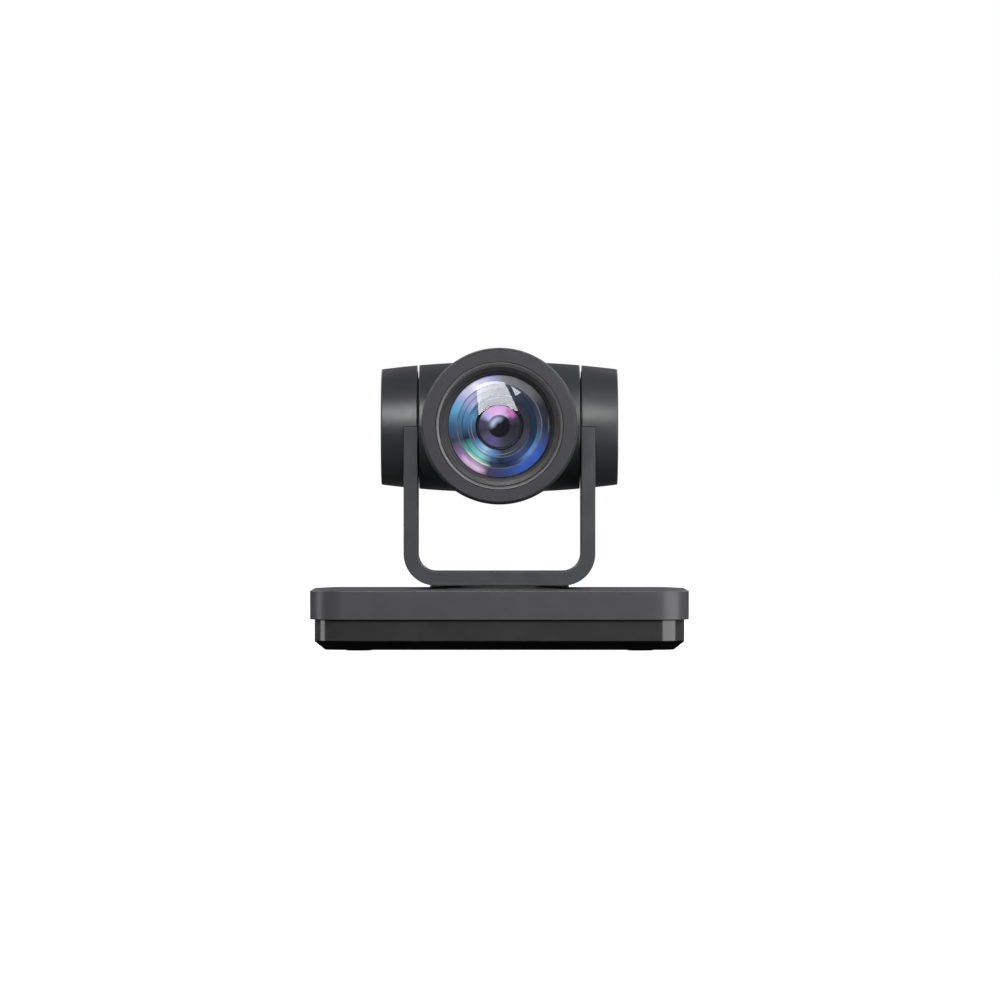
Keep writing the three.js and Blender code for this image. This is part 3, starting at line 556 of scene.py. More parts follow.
class NodeSheet:
    """The nodes of one material, laid out with short calls."""

    def __init__(self, name: str) -> None:
        """Start a material with a shader and an output.

        Args:
            name: Name of the material.
        """
        self.material = bpy.data.materials.new(name)
        self.material.use_nodes = True
        self.tree = self.material.node_tree
        self.tree.nodes.clear()
        self.output = self.tree.nodes.new("ShaderNodeOutputMaterial")
        self.shader = self.add("ShaderNodeBsdfPrincipled")
        self.finish_with(self.shader.outputs[0])

    def add(self, kind: str, **settings: object) -> bpy.types.Node:
        """Add a node.

        Args:
            kind: The node's type.
            **settings: Properties to set on it.

        Returns:
            The node.
        """
        node = self.tree.nodes.new(kind)
        for key, value in settings.items():
            setattr(node, key, value)
        return node

    def feed(self, node: bpy.types.Node, socket: int | str, value: object) -> None:
        """Link an output to a socket, or set the socket's own value."""
        if isinstance(value, bpy.types.NodeSocket):
            self.tree.links.new(value, node.inputs[socket])
        else:
            node.inputs[socket].default_value = value

    def finish_with(self, shader: bpy.types.NodeSocket) -> None:
        """Link a shader to the material's surface."""
        self.tree.links.new(shader, self.output.inputs["Surface"])

    def shade(self, sockets: dict[str, object]) -> bpy.types.Material:
        """Feed the shader's sockets by name, and return the material."""
        for socket, value in sockets.items():
            self.feed(self.shader, socket, value)
        return self.material

    def place(
        self, centre: Place = (0.0, 0.0, 0.0), stretch: Place = (1.0, 1.0, 1.0)
    ) -> bpy.types.NodeSocket:
        """Return the place on the object.

        Args:
            centre: Point that the pattern is centred on, in millimetres.
            stretch: Scale along each axis.

        Returns:
            The place less the centre, times the scale, in metres.
        """
        coordinates = self.add("ShaderNodeTexCoord")
        mapping = self.add("ShaderNodeMapping")
        self.feed(mapping, "Vector", coordinates.outputs["Object"])
        self.feed(mapping, "Location", [-c * MM * s for c, s in zip(centre, stretch)])
        self.feed(mapping, "Scale", stretch)
        return mapping.outputs[0]

    def noise(
        self, place: bpy.types.NodeSocket, size: float, detail: float = 2.0, roughness: float = 0.5
    ) -> bpy.types.NodeSocket:
        """Return a cloudy pattern.

        Args:
            place: Where on the surface.
            size: Size of the clouds, in millimetres.
            detail: Number of finer layers.
            roughness: Strength of the finer layers.

        Returns:
            The pattern, from 0 to 1.
        """
        node = self.add("ShaderNodeTexNoise")
        self.feed(node, "Vector", place)
        self.feed(node, "Scale", 1 / (size * MM))
        self.feed(node, "Detail", detail)
        self.feed(node, "Roughness", roughness)
        return node.outputs["Fac"]

    def maths(
        self, operation: str, first: object, second: object = 0.0, clamp: bool = False
    ) -> bpy.types.NodeSocket:
        """Return the result of a sum on two values."""
        node = self.add("ShaderNodeMath", operation=operation, use_clamp=clamp)
        self.feed(node, 0, first)
        self.feed(node, 1, second)
        return node.outputs[0]

    def remap(
        self,
        value: object,
        old: tuple[float, float],
        new: tuple[float, float] = (0.0, 1.0),
        smooth: bool = False,
    ) -> bpy.types.NodeSocket:
        """Return a value carried from one range to another and held there.

        Args:
            value: The value.
            old: The range it comes from.
            new: The range it goes to.
            smooth: Whether the ends of the range are eased.

        Returns:
            The new value.
        """
        node = self.add("ShaderNodeMapRange", interpolation_type="SMOOTHSTEP" if smooth else "LINEAR")
        for socket, number in zip(("From Min", "From Max", "To Min", "To Max"), (*old, *new)):
            self.feed(node, socket, number)
        self.feed(node, "Value", value)
        return node.outputs[0]

    def blend(self, share: object, first: object, second: object) -> bpy.types.NodeSocket:
        """Return a colour between two, by a share from 0 to 1."""
        node = self.add("ShaderNodeMix", data_type="RGBA")
        self.feed(node, 0, share)
        for socket, colour in ((6, first), (7, second)):
            self.feed(node, socket, (*colour, 1.0) if isinstance(colour, tuple) else colour)
        return node.outputs[2]

    def bump(self, height: object, strength: float, depth: float) -> bpy.types.NodeSocket:
        """Return a normal raised by a pattern.

        Args:
            height: The pattern.
            strength: Share of the bump that shows.
            depth: Its depth, in millimetres.

        Returns:
            The normal.
        """
        node = self.add("ShaderNodeBump")
        self.feed(node, "Height", height)
        self.feed(node, "Strength", strength)
        self.feed(node, "Distance", depth * MM)
        return node.outputs[0]

    def edge_wear_and_highlight_mask(self, reach: float) -> bpy.types.NodeSocket:
        """Return how near a sharp edge a place is, as the mask for edges painted lighter by wear and by
        painted highlight.

        Args:
            reach: Distance from the edge that counts as near, in millimetres.

        Returns:
            A share that grows towards the edges.
        """
        rounded = self.add("ShaderNodeBevel", samples=4)
        self.feed(rounded, "Radius", reach * MM)
        geometry = self.add("ShaderNodeNewGeometry")
        turn = self.add("ShaderNodeVectorMath", operation="DOT_PRODUCT")
        self.feed(turn, 0, rounded.outputs[0])
        self.feed(turn, 1, geometry.outputs["Normal"])
        return self.remap(turn.outputs["Value"], (0.995, 0.86))


@dataclass(frozen=True)
class Finish:
    """A surface finish, made into a material once."""

    name: str
    colour: Colour
    roughness: float = 0.4
    specular: float = 0.5

    def material(self) -> bpy.types.Material:
        """Return the finish's material, made at the first call."""
        return bpy.data.materials.get(self.name) or self.lay(NodeSheet(self.name))

    def toned(self, gain: float, lift: float = 0.0) -> Colour:
        """Return the finish's colour times a gain, plus a lift, held at 1."""
        return tuple(min(1.0, c * gain + lift) for c in self.colour)

    def lay(self, sheet: NodeSheet) -> bpy.types.Material:
        """Lay out the finish's nodes.

        Args:
            sheet: An empty sheet.

        Returns:
            The material.
        """
        raise NotImplementedError


@dataclass(frozen=True)
class Moulded(Finish):
    """Moulded or painted plastic: fine grain, faint clouds in the tone, and edges painted lighter, partly as
    wear and partly as painted edge highlights.
    """

    grain: float = 0.35
    grain_depth: float = 0.012
    clouds: float = 0.06
    # Share of the edges painted lighter, as wear and as painted edge highlights.
    edge_wear_and_highlight: float = 0.35
    coat: float = 0.0
    metallic: float = 0.0
    # How much lighter those edges are painted.
    edge_wear_and_highlight_gain: float = 2.1

    def lay(self, sheet: NodeSheet) -> bpy.types.Material:
        """Lay out grain, clouds, and edges painted lighter as wear and as painted highlights.

        Args:
            sheet: An empty sheet.

        Returns:
            The material.
        """
        place = sheet.place()
        broad = sheet.noise(place, 22.0, 3.0)
        grain = sheet.noise(place, self.grain, 3.0, 0.6)
        patches = sheet.remap(broad, (0.35, 0.65))
        tone = sheet.blend(patches, self.toned(1 - self.clouds), self.toned(1 + self.clouds))
        tone = sheet.blend(sheet.remap(grain, NOISE_RANGE, (0.0, 0.16)), tone, self.toned(1.35))
        # Edges are painted lighter: partly wear, partly painted highlight along the edges.
        edge = sheet.maths("MULTIPLY", sheet.edge_wear_and_highlight_mask(0.35), sheet.remap(broad, (0.3, 0.6)), clamp=True)
        edge = sheet.maths("MULTIPLY", edge, self.edge_wear_and_highlight)
        smear = sheet.noise(place, 9.0)
        limits = (self.roughness * 0.88, min(1.0, self.roughness * 1.1))
        return sheet.shade(
            {
                "Base Color": sheet.blend(edge, tone, self.toned(self.edge_wear_and_highlight_gain, 0.01)),
                "Roughness": sheet.remap(smear, NOISE_RANGE, limits),
                "Metallic": self.metallic,
                "Specular IOR Level": self.specular,
                "Coat Weight": self.coat,
                "Coat Roughness": 0.06,
                "Normal": sheet.bump(grain, 0.6, self.grain_depth),
            }
        )


@dataclass(frozen=True)
class Metal(Finish):
    """Bare metal with tool marks that run one way."""

    marks: Place = (1.0, 1.0, 1.0)
    mark_size: float = 0.35
    mark_depth: float = 0.006
    tarnish: float = 0.12

    def lay(self, sheet: NodeSheet) -> bpy.types.Material:
        """Lay out tool marks and tarnish.

        Args:
            sheet: An empty sheet.

        Returns:
            The material.
        """
        marks = sheet.noise(sheet.place(stretch=self.marks), self.mark_size, 4.0, 0.65)
        clouds = sheet.noise(sheet.place(), 7.0, 3.0)
        tone = sheet.blend(sheet.remap(clouds, (0.35, 0.7)), self.colour, self.toned(1 - self.tarnish * 2))
        return sheet.shade(
            {
                "Base Color": sheet.blend(sheet.remap(marks, NOISE_RANGE, (0.0, 0.25)), tone, self.toned(1.2)),
                "Roughness": sheet.remap(marks, NOISE_RANGE, (self.roughness * 0.75, self.roughness * 1.3)),
                "Metallic": 1.0,
                "Normal": sheet.bump(marks, 0.5, self.mark_depth),
            }
        )


@dataclass(frozen=True)
class TurnedMetal(Finish):
    """Metal faced on a lathe: fine circles round an axis along Y or X."""

    axis: Axis = Axis.Y
    centre: Place = (0.0, 0.0, 0.0)
    pitch: float = 0.28
    anodised: float = 1.0

    def lay(self, sheet: NodeSheet) -> bpy.types.Material:
        """Lay out circles round the axis.

        Args:
            sheet: An empty sheet.

        Returns:
            The material.
        """
        stretch = tuple(0.0 if i == self.axis.value else 1.0 for i in range(3))
        length = sheet.add("ShaderNodeVectorMath", operation="LENGTH")
        sheet.feed(length, 0, sheet.place(self.centre, stretch))
        turns = sheet.maths("MULTIPLY", length.outputs["Value"], math.tau / (self.pitch * MM))
        grooves = sheet.remap(sheet.maths("SINE", turns), (-1.0, 1.0))
        clouds = sheet.noise(sheet.place(), 4.0, 3.0)
        return sheet.shade(
            {
                "Base Color": sheet.blend(sheet.remap(clouds, NOISE_RANGE), self.colour, self.toned(0.8)),
                "Roughness": sheet.remap(clouds, NOISE_RANGE, (self.roughness * 0.8, self.roughness * 1.2)),
                "Metallic": self.anodised,
                "Normal": sheet.bump(grooves, 0.35, 0.01),
            }
        )


@dataclass(frozen=True)
class Board(Finish):
    """A circuit board: tracks under green lacquer, solder dots, and black parts that stand on it."""

    axis: Axis = Axis.Z
    parts_from: float = 0.0
    parts_below: bool = False

    def lay(self, sheet: NodeSheet) -> bpy.types.Material:
        """Lay out tracks, dots and black parts.

        Args:
            sheet: An empty sheet.

        Returns:
            The material.
        """
        place = sheet.place()
        tracks = sheet.add("ShaderNodeTexBrick", offset=0.37, squash=1.0)
        sheet.feed(tracks, "Vector", place)
        sheet.feed(tracks, "Scale", 260.0)
        sheet.feed(tracks, "Mortar Size", 0.045)
        dots = sheet.add("ShaderNodeTexVoronoi", feature="F1")
        sheet.feed(dots, "Vector", place)
        sheet.feed(dots, "Scale", 330.0)
        dot = sheet.remap(dots.outputs["Distance"], (0.16, 0.12))
        clouds = sheet.noise(place, 3.0, 3.0)
        lacquer = sheet.blend(clouds, self.toned(0.7), self.toned(1.25))
        tone = sheet.blend(tracks.outputs["Fac"], lacquer, self.toned(1.9))
        tone = sheet.blend(dot, tone, (0.55, 0.55, 0.52))
        height = sheet.add("ShaderNodeSeparateXYZ")
        sheet.feed(height, 0, place)
        edge = self.parts_from * MM
        step = (edge + 1e-5, edge - 1e-5) if self.parts_below else (edge - 1e-5, edge + 1e-5)
        part = sheet.remap(height.outputs[self.axis.value], step)
        return sheet.shade(
            {
                "Base Color": sheet.blend(part, tone, (0.018, 0.018, 0.02)),
                "Roughness": sheet.remap(part, (0.0, 1.0), (self.roughness, 0.55)),
                "Normal": sheet.bump(tracks.outputs["Fac"], 0.4, 0.03),
            }
        )


@dataclass(frozen=True)
class Ribbon(Finish):
    """Flat cable: rounded wires side by side under a grey sleeve, with painted shade in the grooves between
    them.
    """

    wires: float = 1.0

    def lay(self, sheet: NodeSheet) -> bpy.types.Material:
        """Lay out the wires across Y.

        Args:
            sheet: An empty sheet.

        Returns:
            The material.
        """
        place = sheet.place()
        across = sheet.add("ShaderNodeSeparateXYZ")
        sheet.feed(across, 0, place)
        turns = sheet.maths("MULTIPLY", across.outputs[1], math.pi / (self.wires * MM))
        wire = sheet.maths("ABSOLUTE", sheet.maths("SINE", turns))
        dirt = sheet.noise(place, 2.0, 4.0)
        # The tone darkens into the grooves between the wires: painted shade.
        tone = sheet.blend(sheet.remap(wire, (0.0, 0.35)), self.toned(0.55), self.colour)
        return sheet.shade(
            {
                "Base Color": sheet.blend(sheet.remap(dirt, (0.4, 0.8), (0.0, 0.25)), tone, self.toned(0.7)),
                "Roughness": sheet.remap(dirt, NOISE_RANGE, (self.roughness, self.roughness + 0.15)),
                "Normal": sheet.bump(wire, 0.9, 0.25),
            }
        )


@dataclass(frozen=True)
class PaintedGlint:
    """A patch of painted light on a coated lens, as a painted reflection, highlight or shade: part of a ring,
    with soft edges.

    The angles are degrees anticlockwise from +X, as seen by someone who faces the lens.
    """

    inner: float
    outer: float
    start: float
    end: float
    colour: Colour
    strength: float = 1.0
    edge: float = 0.6
    fade: float = 9.0


class PaintedReflectionTint(Enum):
    """Colours of the reflections painted on the coatings."""

    INK = (0.028, 0.031, 0.046)
    NAVY = (0.014, 0.028, 0.062)
    SLATE = (0.050, 0.058, 0.082)
    SMOKE = (0.115, 0.115, 0.120)
    ASH = (0.200, 0.200, 0.210)
    PEARL = (0.800, 0.780, 0.930)
    LILAC = (0.420, 0.440, 0.720)
    CYAN = (0.140, 0.430, 0.700)
    BLUE = (0.090, 0.270, 0.480)
    STEEL = (0.055, 0.135, 0.260)
    TEAL = (0.120, 0.460, 0.450)
    AQUA = (0.300, 0.700, 0.730)
    SKY = (0.440, 0.670, 0.920)
    AZURE = (0.120, 0.260, 0.570)
    COBALT = (0.048, 0.120, 0.500)
    INDIGO = (0.045, 0.068, 0.200)
    MAUVE = (0.310, 0.200, 0.430)
    ROSE = (0.550, 0.370, 0.670)
    ORCHID = (0.800, 0.480, 0.900)
    DUSK = (0.070, 0.056, 0.120)
    PLUM = (0.085, 0.066, 0.220)
    SOOT = (0.014, 0.012, 0.018)


@dataclass(frozen=True)
class PaintedReflectionRing:
    """A ring of painted reflection on a coating, whose colour changes on the way round it.

    The stops are degrees anticlockwise from +X, as seen by someone who faces the lens, with the tint there.
    """

    inner: float
    outer: float
    stops: tuple[tuple[float, PaintedReflectionTint], ...]
    strength: float = 0.92
    edge: float = 0.7


@dataclass(frozen=True)
class Coated(Finish):
    """Coated glass: clear, with rings of painted reflection and painted highlights on its front face, which
    also glow as painted light, and a real gloss that grows at the rim.
    """

    centre: Place = (0.0, 0.0, 0.0)
    front: float = 0.0
    rings: tuple[PaintedReflectionRing, ...] = ()
    painted_glints: tuple[PaintedGlint, ...] = ()
    haze: float = 0.1
    # Strength of the glow of the painted reflections: painted light, as the glass is no lamp.
    glow: float = 0.2
    rim_index: float = 1.5

    def lay(self, sheet: NodeSheet) -> bpy.types.Material:
        """Lay out the clear glass, its painted reflections and their glow, and its gloss.

        Args:
            sheet: An empty sheet.

        Returns:
            The material.
        """
        flat = sheet.place(self.centre, (1.0, 0.0, 1.0))
        length = sheet.add("ShaderNodeVectorMath", operation="LENGTH")
        sheet.feed(length, 0, flat)
        radius = length.outputs["Value"]
        way = sheet.add("ShaderNodeVectorMath", operation="NORMALIZE")
        sheet.feed(way, 0, flat)
        ripple = sheet.noise(sheet.place(stretch=(1.0, 0.0, 1.0)), 5.0, 2.0)
        tone: object = self.colour
        cover: object = self.haze
        turn = self._turn(sheet, flat)
        for ring in self.rings:
            share = self._band(sheet, ring.inner, ring.outer, ring.edge, radius)
            share = sheet.maths("MULTIPLY", share, sheet.remap(ripple, (0.25, 0.6), (0.9, 1.0)))
            tone = sheet.blend(share, tone, self._ramp(sheet, ring, turn))
            cover = sheet.maths("MAXIMUM", cover, sheet.maths("MULTIPLY", share, ring.strength))
        for glint in self.painted_glints:
            share = self._patch(sheet, glint, radius, way.outputs[0])
            share = sheet.maths("MULTIPLY", share, sheet.remap(ripple, (0.25, 0.6), (0.82, 1.0)))
            tone = sheet.blend(share, tone, glint.colour)
            cover = sheet.maths("MAXIMUM", cover, sheet.maths("MULTIPLY", share, glint.strength))
        depth = sheet.add("ShaderNodeSeparateXYZ")
        sheet.feed(depth, 0, sheet.place())
        facing_front = sheet.remap(depth.outputs[1], ((self.front + 0.3) * MM, (self.front + 0.1) * MM))
        cover = sheet.maths("MULTIPLY", cover, facing_front)
        # The painted reflections are both the base colour and a glow: painted light.
        sheet.shade(
            {
                "Base Color": tone,
                "Emission Color": tone,
                "Emission Strength": self.glow,
                "Roughness": sheet.remap(ripple, NOISE_RANGE, (0.1, 0.2)),
                "Specular IOR Level": self.specular,
            }
        )
        clear = sheet.add("ShaderNodeBsdfTransparent")
        gloss = sheet.add("ShaderNodeBsdfGlossy")
        sheet.feed(gloss, "Color", (0.93, 0.95, 1.0, 1.0))
        sheet.feed(gloss, "Roughness", self.roughness)
        rim = sheet.add("ShaderNodeFresnel")
        sheet.feed(rim, "IOR", self.rim_index)
        under = self._mixed(sheet, cover, clear.outputs[0], sheet.shader.outputs[0])
        sheet.finish_with(self._mixed(sheet, rim.outputs[0], under, gloss.outputs[0]))
        return sheet.material

    @staticmethod
    def _mixed(
        sheet: NodeSheet, share: object, first: bpy.types.NodeSocket, second: bpy.types.NodeSocket
    ) -> bpy.types.NodeSocket:
        """Return two shaders mixed by a share."""
        node = sheet.add("ShaderNodeMixShader")
        for socket, value in enumerate((share, first, second)):
            sheet.feed(node, socket, value)
        return node.outputs[0]

    @staticmethod
    def _turn(sheet: NodeSheet, flat: bpy.types.NodeSocket) -> bpy.types.NodeSocket:
        """Return how far round the axis a place is, from 0 at +X once round to 1."""
        parts = sheet.add("ShaderNodeSeparateXYZ")
        sheet.feed(parts, 0, flat)
        back = [sheet.maths("MULTIPLY", parts.outputs[i], -1.0) for i in (2, 0)]
        angle = sheet.maths("ARCTAN2", *back)
        return sheet.remap(angle, (-math.pi, math.pi))

    @staticmethod
    def _ramp(sheet: NodeSheet, ring: PaintedReflectionRing, turn: bpy.types.NodeSocket) -> bpy.types.NodeSocket:
        """Return a ring's painted reflection colour at a place on the way round."""
        node = sheet.add("ShaderNodeValToRGB")
        sheet.feed(node, 0, turn)
        ramp = node.color_ramp
        while len(ramp.elements) < len(ring.stops):
            ramp.elements.new(0.5)
        for element, (angle, tint) in zip(ramp.elements, ring.stops):
            element.position = angle / 360
            element.color = (*tint.value, 1.0)
        return node.outputs[0]

    @staticmethod
    def _band(
        sheet: NodeSheet, inner: float, outer: float, edge: float, radius: bpy.types.NodeSocket
    ) -> bpy.types.NodeSocket:
        """Return a share that is 1 between two radii, in millimetres, and falls off across an edge."""
        half = edge / 2
        grow = sheet.remap(radius, ((inner - half) * MM, (inner + half) * MM), smooth=True)
        drop = sheet.remap(radius, ((outer + half) * MM, (outer - half) * MM), smooth=True)
        return sheet.maths("MULTIPLY", grow, drop)

    @staticmethod
    def _patch(
        sheet: NodeSheet, glint: PaintedGlint, radius: bpy.types.NodeSocket, way: bpy.types.NodeSocket
    ) -> bpy.types.NodeSocket:
        """Return the share of a glint at a place.

        Args:
            sheet: The sheet that it is laid on.
            glint: The glint.
            radius: Distance from the lens's axis, in metres.
            way: Unit vector from the axis to the place.

        Returns:
            The share, from 0 to 1.
        """
        share = Coated._band(sheet, glint.inner, glint.outer, glint.edge, radius)
        if glint.end - glint.start < 360:
            middle = math.radians((glint.start + glint.end) / 2)
            half = math.radians((glint.end - glint.start) / 2)
            fade = math.radians(glint.fade)
            dot = sheet.add("ShaderNodeVectorMath", operation="DOT_PRODUCT")
            sheet.feed(dot, 0, way)
            sheet.feed(dot, 1, (math.cos(middle), 0.0, math.sin(middle)))
            limits = (math.cos(min(math.pi, half + fade)), math.cos(max(0.0, half - fade)))
            share = sheet.maths("MULTIPLY", share, sheet.remap(dot.outputs["Value"], limits, smooth=True))
        return share


LENS_CENTRE = (0.0, 0.0, middle_of("trim_ring")[2])

COVER_GREY = Moulded(
    "cover grey plastic", (0.066, 0.065, 0.073), 0.33, grain=0.6, grain_depth=0.006, clouds=0.02, edge_wear_and_highlight=0.12
)
PAN_BLACK = Moulded("matt black plastic", (0.003, 0.003, 0.003), 0.7, specular=0.06, edge_wear_and_highlight=0.2)
SMOKED = Moulded(
    "smoked gloss plastic",
    (0.034, 0.034, 0.034),
    0.16,
    grain=0.8,
    grain_depth=0.0015,
    clouds=0.12,
    edge_wear_and_highlight=0.15,
    coat=0.6,
)
YOKE_PAINT = Moulded(
    "satin metal paint", (0.053, 0.058, 0.065), 0.36, grain=0.5, grain_depth=0.010, metallic=0.15
)
HEAD_PAINT = Moulded(
    "slate head plastic", (0.024, 0.029, 0.033), 0.4, grain=0.45, grain_depth=0.008, specular=0.8
)
COLLAR_BLACK = Moulded("black collar plastic", (0.010, 0.011, 0.012), 0.5)
# The ring's edges are painted much lighter: painted highlights along its chamfers, with some wear.
RING_GREY = Moulded(
    "fine grained ring grey",
    (0.041, 0.040, 0.047),
    0.45,
    grain=0.25,
    grain_depth=0.010,
    specular=0.35,
    edge_wear_and_highlight=0.9,
)
# The steps' edges are painted up to nine times lighter: painted highlights along the steps.
STEP_BLACK = Moulded(
    "black anodised steps",
    (0.012, 0.012, 0.013),
    0.45,
    grain=0.2,
    grain_depth=0.006,
    edge_wear_and_highlight=1.0,
    edge_wear_and_highlight_gain=9.0,
)
TUBE_BLACK = Moulded("light trap black", (0.004, 0.004, 0.005), 0.7, specular=0.1, edge_wear_and_highlight=0.1)
BLACK_NYLON = Moulded("black nylon", (0.012, 0.012, 0.013), 0.55)
DIAL_BLACK = Moulded("dial nylon", (0.022, 0.022, 0.024), 0.4, edge_wear_and_highlight=0.8)
INNER_GLASS = Moulded(
    "inner lens coating", (0.020, 0.012, 0.035), 0.08, grain_depth=0.0, clouds=0.3, edge_wear_and_highlight=0.3, coat=1.0
)
RUBBER = Moulded(
    "foot rubber", (0.016, 0.016, 0.017), 0.85, grain=0.6, grain_depth=0.05, specular=0.2, edge_wear_and_highlight=0.5
)
ACETAL = Moulded("white gear plastic", (0.66, 0.64, 0.58), 0.42, clouds=0.04, edge_wear_and_highlight=0.1)
TRIM = TurnedMetal(
    "bright anodised ring", (0.15, 0.15, 0.155), 0.4, centre=LENS_CENTRE, pitch=0.2, anodised=0.3
)
HUB_METAL = TurnedMetal(
    "turned hub metal", (0.42, 0.43, 0.45), 0.38, axis=Axis.X, centre=LENS_CENTRE, pitch=0.3
)
DARK_METAL = Metal("blackened steel", (0.045, 0.045, 0.05), 0.42)
PLATE_STEEL = Metal("rolled steel", (0.40, 0.41, 0.43), 0.36, marks=(0.06, 1.0, 1.0))
PANEL_STEEL = Metal("brushed rear panel", (0.10, 0.10, 0.11), 0.42, marks=(0.04, 1.0, 1.0), mark_size=0.3)
ROUND_STEEL = Metal("plain steel", (0.46, 0.47, 0.49), 0.3, marks=(1.0, 0.1, 1.0))
FIN_METAL = Metal("extruded fins", (0.50, 0.51, 0.53), 0.4, marks=(1.0, 1.0, 0.05))
BRASS = Metal("machined brass", (0.62, 0.42, 0.16), 0.3, marks=(1.0, 1.0, 8.0), tarnish=0.15)
GOLD = Metal("gilt contacts", (0.80, 0.56, 0.22), 0.25, tarnish=0.05)
LACQUER = (0.018, 0.10, 0.045)
MAIN_BOARD = Board("main board lacquer", LACQUER, 0.35, parts_from=7.25)
PAN_BOARD = Board("pan sensor board lacquer", LACQUER, 0.35, parts_from=13.65)
TILT_BOARD = Board(
    "tilt sensor board lacquer", LACQUER, 0.35, axis=Axis.X, parts_from=-58.45, parts_below=True
)
IMAGE_BOARD = Board(
    "image sensor board lacquer", LACQUER, 0.35, axis=Axis.Y, parts_from=24.25, parts_below=True
)
CABLE = Ribbon("flat cable grey", (0.25, 0.26, 0.28), 0.45)


# ---------------------------------------------------------------------- small parts


@dataclass
class CrossScrew:
    """A domed screw head with a cross recess."""

    radius: float = 2.0
    height: float = 1.0
    recess: float = 0.62

    def build(self, name: str, centre: Place, out: int, axis: Axis) -> Workpiece:
        """Make one screw head.

        Args:
            name: Name of the piece.
            centre: Middle of the head's seat, in millimetres.
            out: 1 where the head stands along the axis, -1 where it stands against it.
            axis: The screw's axis.

        Returns:
            The head.
        """
        base = centre[axis.value]
        crown = base + out * self.height
        profile = [(0.0, base), (self.radius, base), (self.radius, base + out * self.height * 0.45, 0.3)]
        profile += [(self.radius * 0.72, crown, 0.5), (0.0, crown)]
        head = Workpiece.turned(name, axis, profile, centre, 32, 3)
        for way in range(3):
            if way == axis.value:
                continue
            low, high = list(centre), list(centre)
            other = 3 - way - axis.value
            for end, sign in ((low, -1), (high, 1)):
                end[way] += sign * self.radius * self.recess
                end[other] += sign * self.radius * 0.17
            low[axis.value], high[axis.value] = sorted((crown + out, crown - out * self.height * 0.55))
            head.cut(Workpiece.block("recess", low, high))
        return head


def both(*tests: Callable[..., bool]) -> Callable[..., bool]:
    """Return a test that passes what every given test passes."""
    return lambda item: all(test(item) for test in tests)


def vertical_u(
    name: str, half_width: float, half_depth: float, bottom: float, top: float, corner: float
) -> Workpiece:
    """Make a block with its two lower edges along Y rounded, as the outside or the inside of the yoke.

    Args:
        name: Name of the piece.
        half_width: Half its width in X, in millimetres.
        half_depth: Half its depth in Y, in millimetres.
        bottom: Its lowest place, in millimetres.
        top: Its highest place, in millimetres.
        corner: Radius of the lower corners, in millimetres.

    Returns:
        The block.
    """
    made = Workpiece.block(name, (-half_width, -half_depth, bottom), (half_width, half_depth, top))
    return made.bevel(both(edges_along(Axis.Y), edges_at(Axis.Z, bottom)), corner, segments=20)


# ---------------------------------------------------------------------- base


